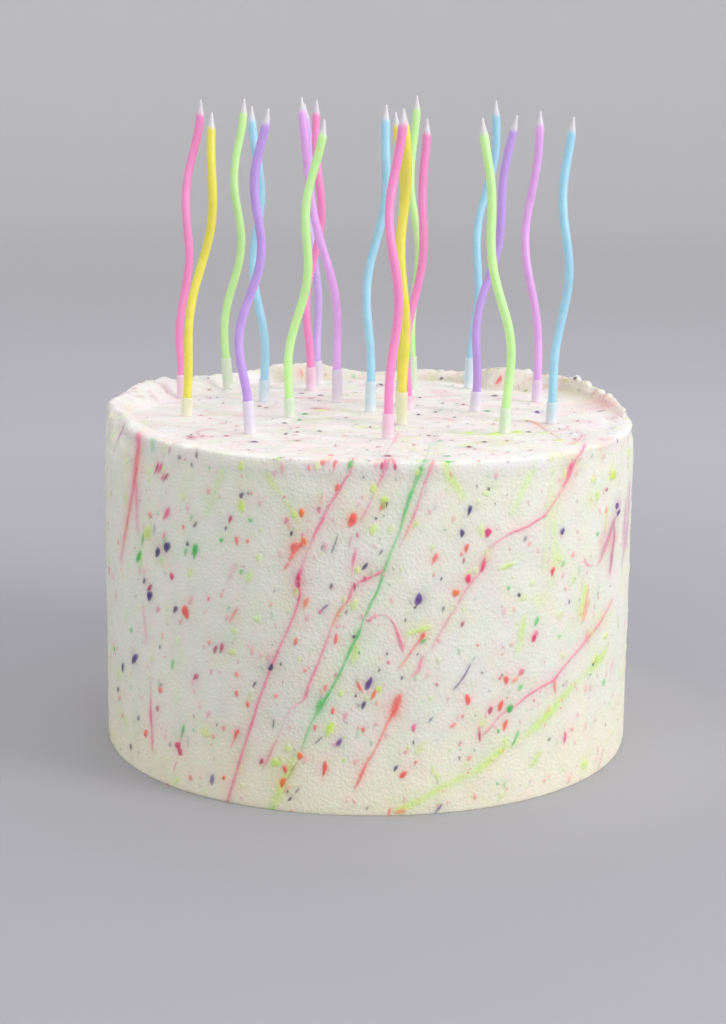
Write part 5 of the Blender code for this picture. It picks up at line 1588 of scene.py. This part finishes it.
def build_candle(label, row, number, material):
    point, _ = candle_path(row, number)
    tip, rim = row[3], row[4]
    cone = tip - TIP_LENGTH
    z = [BORE_FLOOR + 0.1, rim - 1.0, rim + 0.1, rim + 1.0]
    r = [WAX_RADIUS - 0.03] * 4
    free = np.arange(rim + 2.2, cone - 0.4, 1.25)
    grow = np.random.default_rng(number)
    swell = np.interp(free, np.linspace(free[0], free[-1], 12), grow.uniform(-0.03, 0.03, 12))
    z += free.tolist()
    r += (WAX_RADIUS - 0.03 + swell).tolist()
    # the dipped end: a soft shoulder, then a slim straight taper with a blunt point
    for share, radius in ((0.0, 1.66), (0.07, 1.60), (0.15, 1.48), (0.27, 1.29), (0.42, 1.05), (0.58, 0.82),
                          (0.74, 0.62), (0.88, 0.47), (0.955, 0.39), (0.985, 0.28), (0.997, 0.14)):
        z.append(cone + TIP_LENGTH * share)
        r.append(radius)
    path = [point(v) for v in z]
    co, faces = swept(path, r, 24)
    obj = make_object("wax_candle_" + label, co, faces, material)
    zz = np.repeat(np.array(z), 24)
    level = cone + 0.55 + 0.35 * np.sin(np.tile(np.arange(24) * math.tau / 24, len(z)) + number)
    point_floats(obj, "white", ease((zz - level + 0.9) / 2.6))
    return obj


def cup_profile(rim):
    """Bore floor, up the bore, over the rounded rim, down the outside, to the pin's point."""
    return ((0.0, BORE_FLOOR), (BORE_RADIUS - 0.2, BORE_FLOOR), (BORE_RADIUS, BORE_FLOOR + 0.2),
            (BORE_RADIUS, rim - 0.16), (BORE_RADIUS + 0.05, rim - 0.04), (BORE_RADIUS + 0.15, rim - 0.02),
            (CUP_RADIUS - 0.20, rim - 0.02), (CUP_RADIUS - 0.10, rim - 0.07), (CUP_RADIUS - 0.05, rim - 0.20),
            (CUP_RADIUS - 0.05, rim - 1.2), (CUP_RADIUS - 0.02, 5.0), (CUP_RADIUS, 1.4), (CUP_RADIUS, CUP_BOTTOM),
            (CUP_RADIUS - 0.02, -0.5), (CUP_RADIUS - 0.3, -0.9), (PIN_RADIUS, -1.2),
            (PIN_RADIUS, -4.0), (PIN_RADIUS - 0.05, -PIN_DEPTH + 1.3), (0.5, -PIN_DEPTH + 0.3), (0.0, -PIN_DEPTH))


def build_cup(label, row, number, material):
    _, direction = candle_path(row, number)
    profile, sides = cup_profile(row[4]), 28
    co, faces, rows = [], [], []
    for r, z in profile:
        if r == 0.0:
            rows.append([len(co)])
            co.append((0.0, 0.0, z))
        else:
            rows.append(list(range(len(co), len(co) + sides)))
            co += [(r * math.cos(k * math.tau / sides), r * math.sin(k * math.tau / sides), z) for k in range(sides)]
    for one, two in zip(rows, rows[1:]):
        for k in range(sides):
            j = (k + 1) % sides
            if len(one) == 1:
                faces.append((one[0], two[k], two[j]))
            elif len(two) == 1:
                faces.append((one[k], two[0], one[j]))
            else:
                faces.append((one[k], two[k], two[j], one[j]))
    turn = np.array(Vector((0.0, 0.0, 1.0)).rotation_difference(direction).to_matrix())
    co = np.array(co) @ turn.T + np.array([row[1], row[2], CAKE_HEIGHT])
    height = np.concatenate([[z] if r == 0.0 else [z] * sides for r, z in profile])
    obj = make_object("plastic_cup_" + label, co, faces, material)
    point_floats(obj, "rubbed", 0.55 * ease((3.6 - height) / 3.0))
    obj.data.set_sharp_from_angle(angle=math.radians(40))
    return obj


# =============================================================================
# build everything
# =============================================================================
scatter_splashes()
cake = build_cake(icing_material())
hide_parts("cake")
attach(cake, "root")

for obj in build_splashes():
    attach(obj, "root")

wax = {key: wax_material("wax_" + key, rgb) for key, rgb in WAX.items()}
cups = {key: cup_material("cup_" + key, rgb) for key, rgb in CUP.items()}
for number, row in enumerate(CANDLES, start=1):
    label = "%02d_%s" % (number, row[0])
    candle = build_candle(label, row, number, wax[row[0]])
    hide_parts("candle_" + label)
    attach(candle, "root")
    cup = build_cup(label, row, number, cups[row[0]])
    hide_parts("holder_" + label)
    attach(cup, "root")


# =============================================================================
# stage, light and camera
# =============================================================================
def build_stage():
    """A round floor that curves up into a backdrop on all sides; its colour is graded by distance as painted light and
    shade.
    """
    profile = [(0.0, 0.0)] + [(r, 0.0) for r in (0.3, 0.8, 1.5, 2.2)]
    for k in range(1, 19):
        t = k / 18 * math.pi / 2
        profile.append((2.2 + 1.3 * math.sin(t), 1.3 * (1 - math.cos(t))))
    profile.append((3.5, 2.6))
    sides = 96
    co, faces = [(0.0, 0.0, 0.0)], []
    for r, z in profile[1:]:
        co += [(r * math.cos(k * math.tau / sides), r * math.sin(k * math.tau / sides), z) for k in range(sides)]
    for k in range(sides):
        faces.append((0, 1 + k, 1 + (k + 1) % sides))
    for n in range(len(profile) - 2):
        s0, s1 = 1 + n * sides, 1 + (n + 1) * sides
        for k in range(sides):
            j = (k + 1) % sides
            faces.append((s0 + k, s1 + k, s1 + j, s0 + j))
    mat, tree, shader = new_material("studio_paper_with_painted_light")
    coords = object_coords(tree)
    away = node(tree, "ShaderNodeVectorMath", operation="LENGTH")
    tree.links.new(coords, away.inputs[0])
    share = node(tree, "ShaderNodeMath", operation="DIVIDE")
    share.inputs[1].default_value = 4.0
    tree.links.new(away.outputs["Value"], share.inputs[0])
    ramp = node(tree, "ShaderNodeValToRGB")
    # painted light and shade: the ramp sets the paper's colour by distance from the middle
    ramp.color_ramp.elements[0].position = 0.0
    ramp.color_ramp.elements[0].color = (*lin(*FLOOR_WITH_PAINTED_LIGHT[0][1]), 1)
    ramp.color_ramp.elements[1].position = 1.0
    ramp.color_ramp.elements[1].color = (*lin(*FLOOR_WITH_PAINTED_LIGHT[-1][1]), 1)
    for away_m, rgb in FLOOR_WITH_PAINTED_LIGHT[1:-1]:
        ramp.color_ramp.elements.new(away_m / 4.0).color = (*lin(*rgb), 1)
    tree.links.new(share.outputs[0], ramp.inputs["Fac"])
    tree.links.new(ramp.outputs["Color"], shader.inputs["Base Color"])
    shader.inputs["Roughness"].default_value = 0.9
    shader.inputs["Specular IOR Level"].default_value = 0.1
    floor = make_object("studio_floor", np.array(co) / MM, faces, mat)
    return floor


def area_light(name, place, aim, size, power, colour):
    data = bpy.data.lights.new(name, "AREA")
    data.shape = "DISK"
    data.size = size
    data.energy = power
    data.color = colour
    obj = bpy.data.objects.new(name, data)
    obj.location = place
    obj.rotation_mode = "QUATERNION"
    obj.rotation_quaternion = (Vector(aim) - Vector(place)).to_track_quat("-Z", "Y")
    bpy.context.scene.collection.objects.link(obj)
    return obj


# the paper's colour at distances (m) from the middle of the floor, with painted light: darker just round the cake as
# painted shade, lighter far out as painted light where the lamps reach less
FLOOR_WITH_PAINTED_LIGHT = ((0.0, (196, 195, 198)), (0.16, (168, 167, 172)), (0.3, (173, 172, 179)), (0.65, (188, 187, 192)),
         (1.5, (197, 196, 200)), (2.4, (212, 211, 213)), (4.0, (232, 231, 233)))
build_stage()
area_light("key", (1.52, -0.78, 0.74), (0.0, 0.0, 0.07), 0.8, 17.0, (1.0, 0.993, 1.0))
area_light("fill", (-1.25, -1.25, 0.50), (0.0, 0.0, 0.07), 1.1, 5.8, (0.97, 1.0, 0.935))
area_light("top", (0.15, 0.10, 1.6), (0.0, 0.0, 0.12), 1.1, 7.6, (0.98, 0.985, 1.0))

world = bpy.data.worlds.new("studio")
bpy.context.scene.world = world
world.use_nodes = True
world.node_tree.nodes["Background"].inputs["Color"].default_value = (0.972, 0.973, 0.987, 1)
world.node_tree.nodes["Background"].inputs["Strength"].default_value = 0.745

view = bpy.context.scene.view_settings
view.view_transform = "Standard"

cam_data = bpy.data.cameras.new("camera")
cam_data.sensor_width = 36.0
cam_data.lens = 72.18
cam = bpy.data.objects.new("camera", cam_data)
bpy.context.scene.collection.objects.link(cam)
pitch, yaw, roll = math.radians(12.414), math.radians(-0.145), math.radians(0.675)
look = Vector((math.sin(yaw) * math.cos(pitch), math.cos(yaw) * math.cos(pitch), -math.sin(pitch)))
right = Vector((math.cos(yaw), -math.sin(yaw), 0.0))
up = right.cross(look)
r2 = math.cos(roll) * right + math.sin(roll) * up
u2 = -math.sin(roll) * right + math.cos(roll) * up
back = -look
cam.matrix_world = Matrix(((r2.x, u2.x, back.x, 0.0), (r2.y, u2.y, back.y, -0.7961),
                           (r2.z, u2.z, back.z, 0.2638), (0.0, 0.0, 0.0, 1.0)))
bpy.context.scene.camera = cam
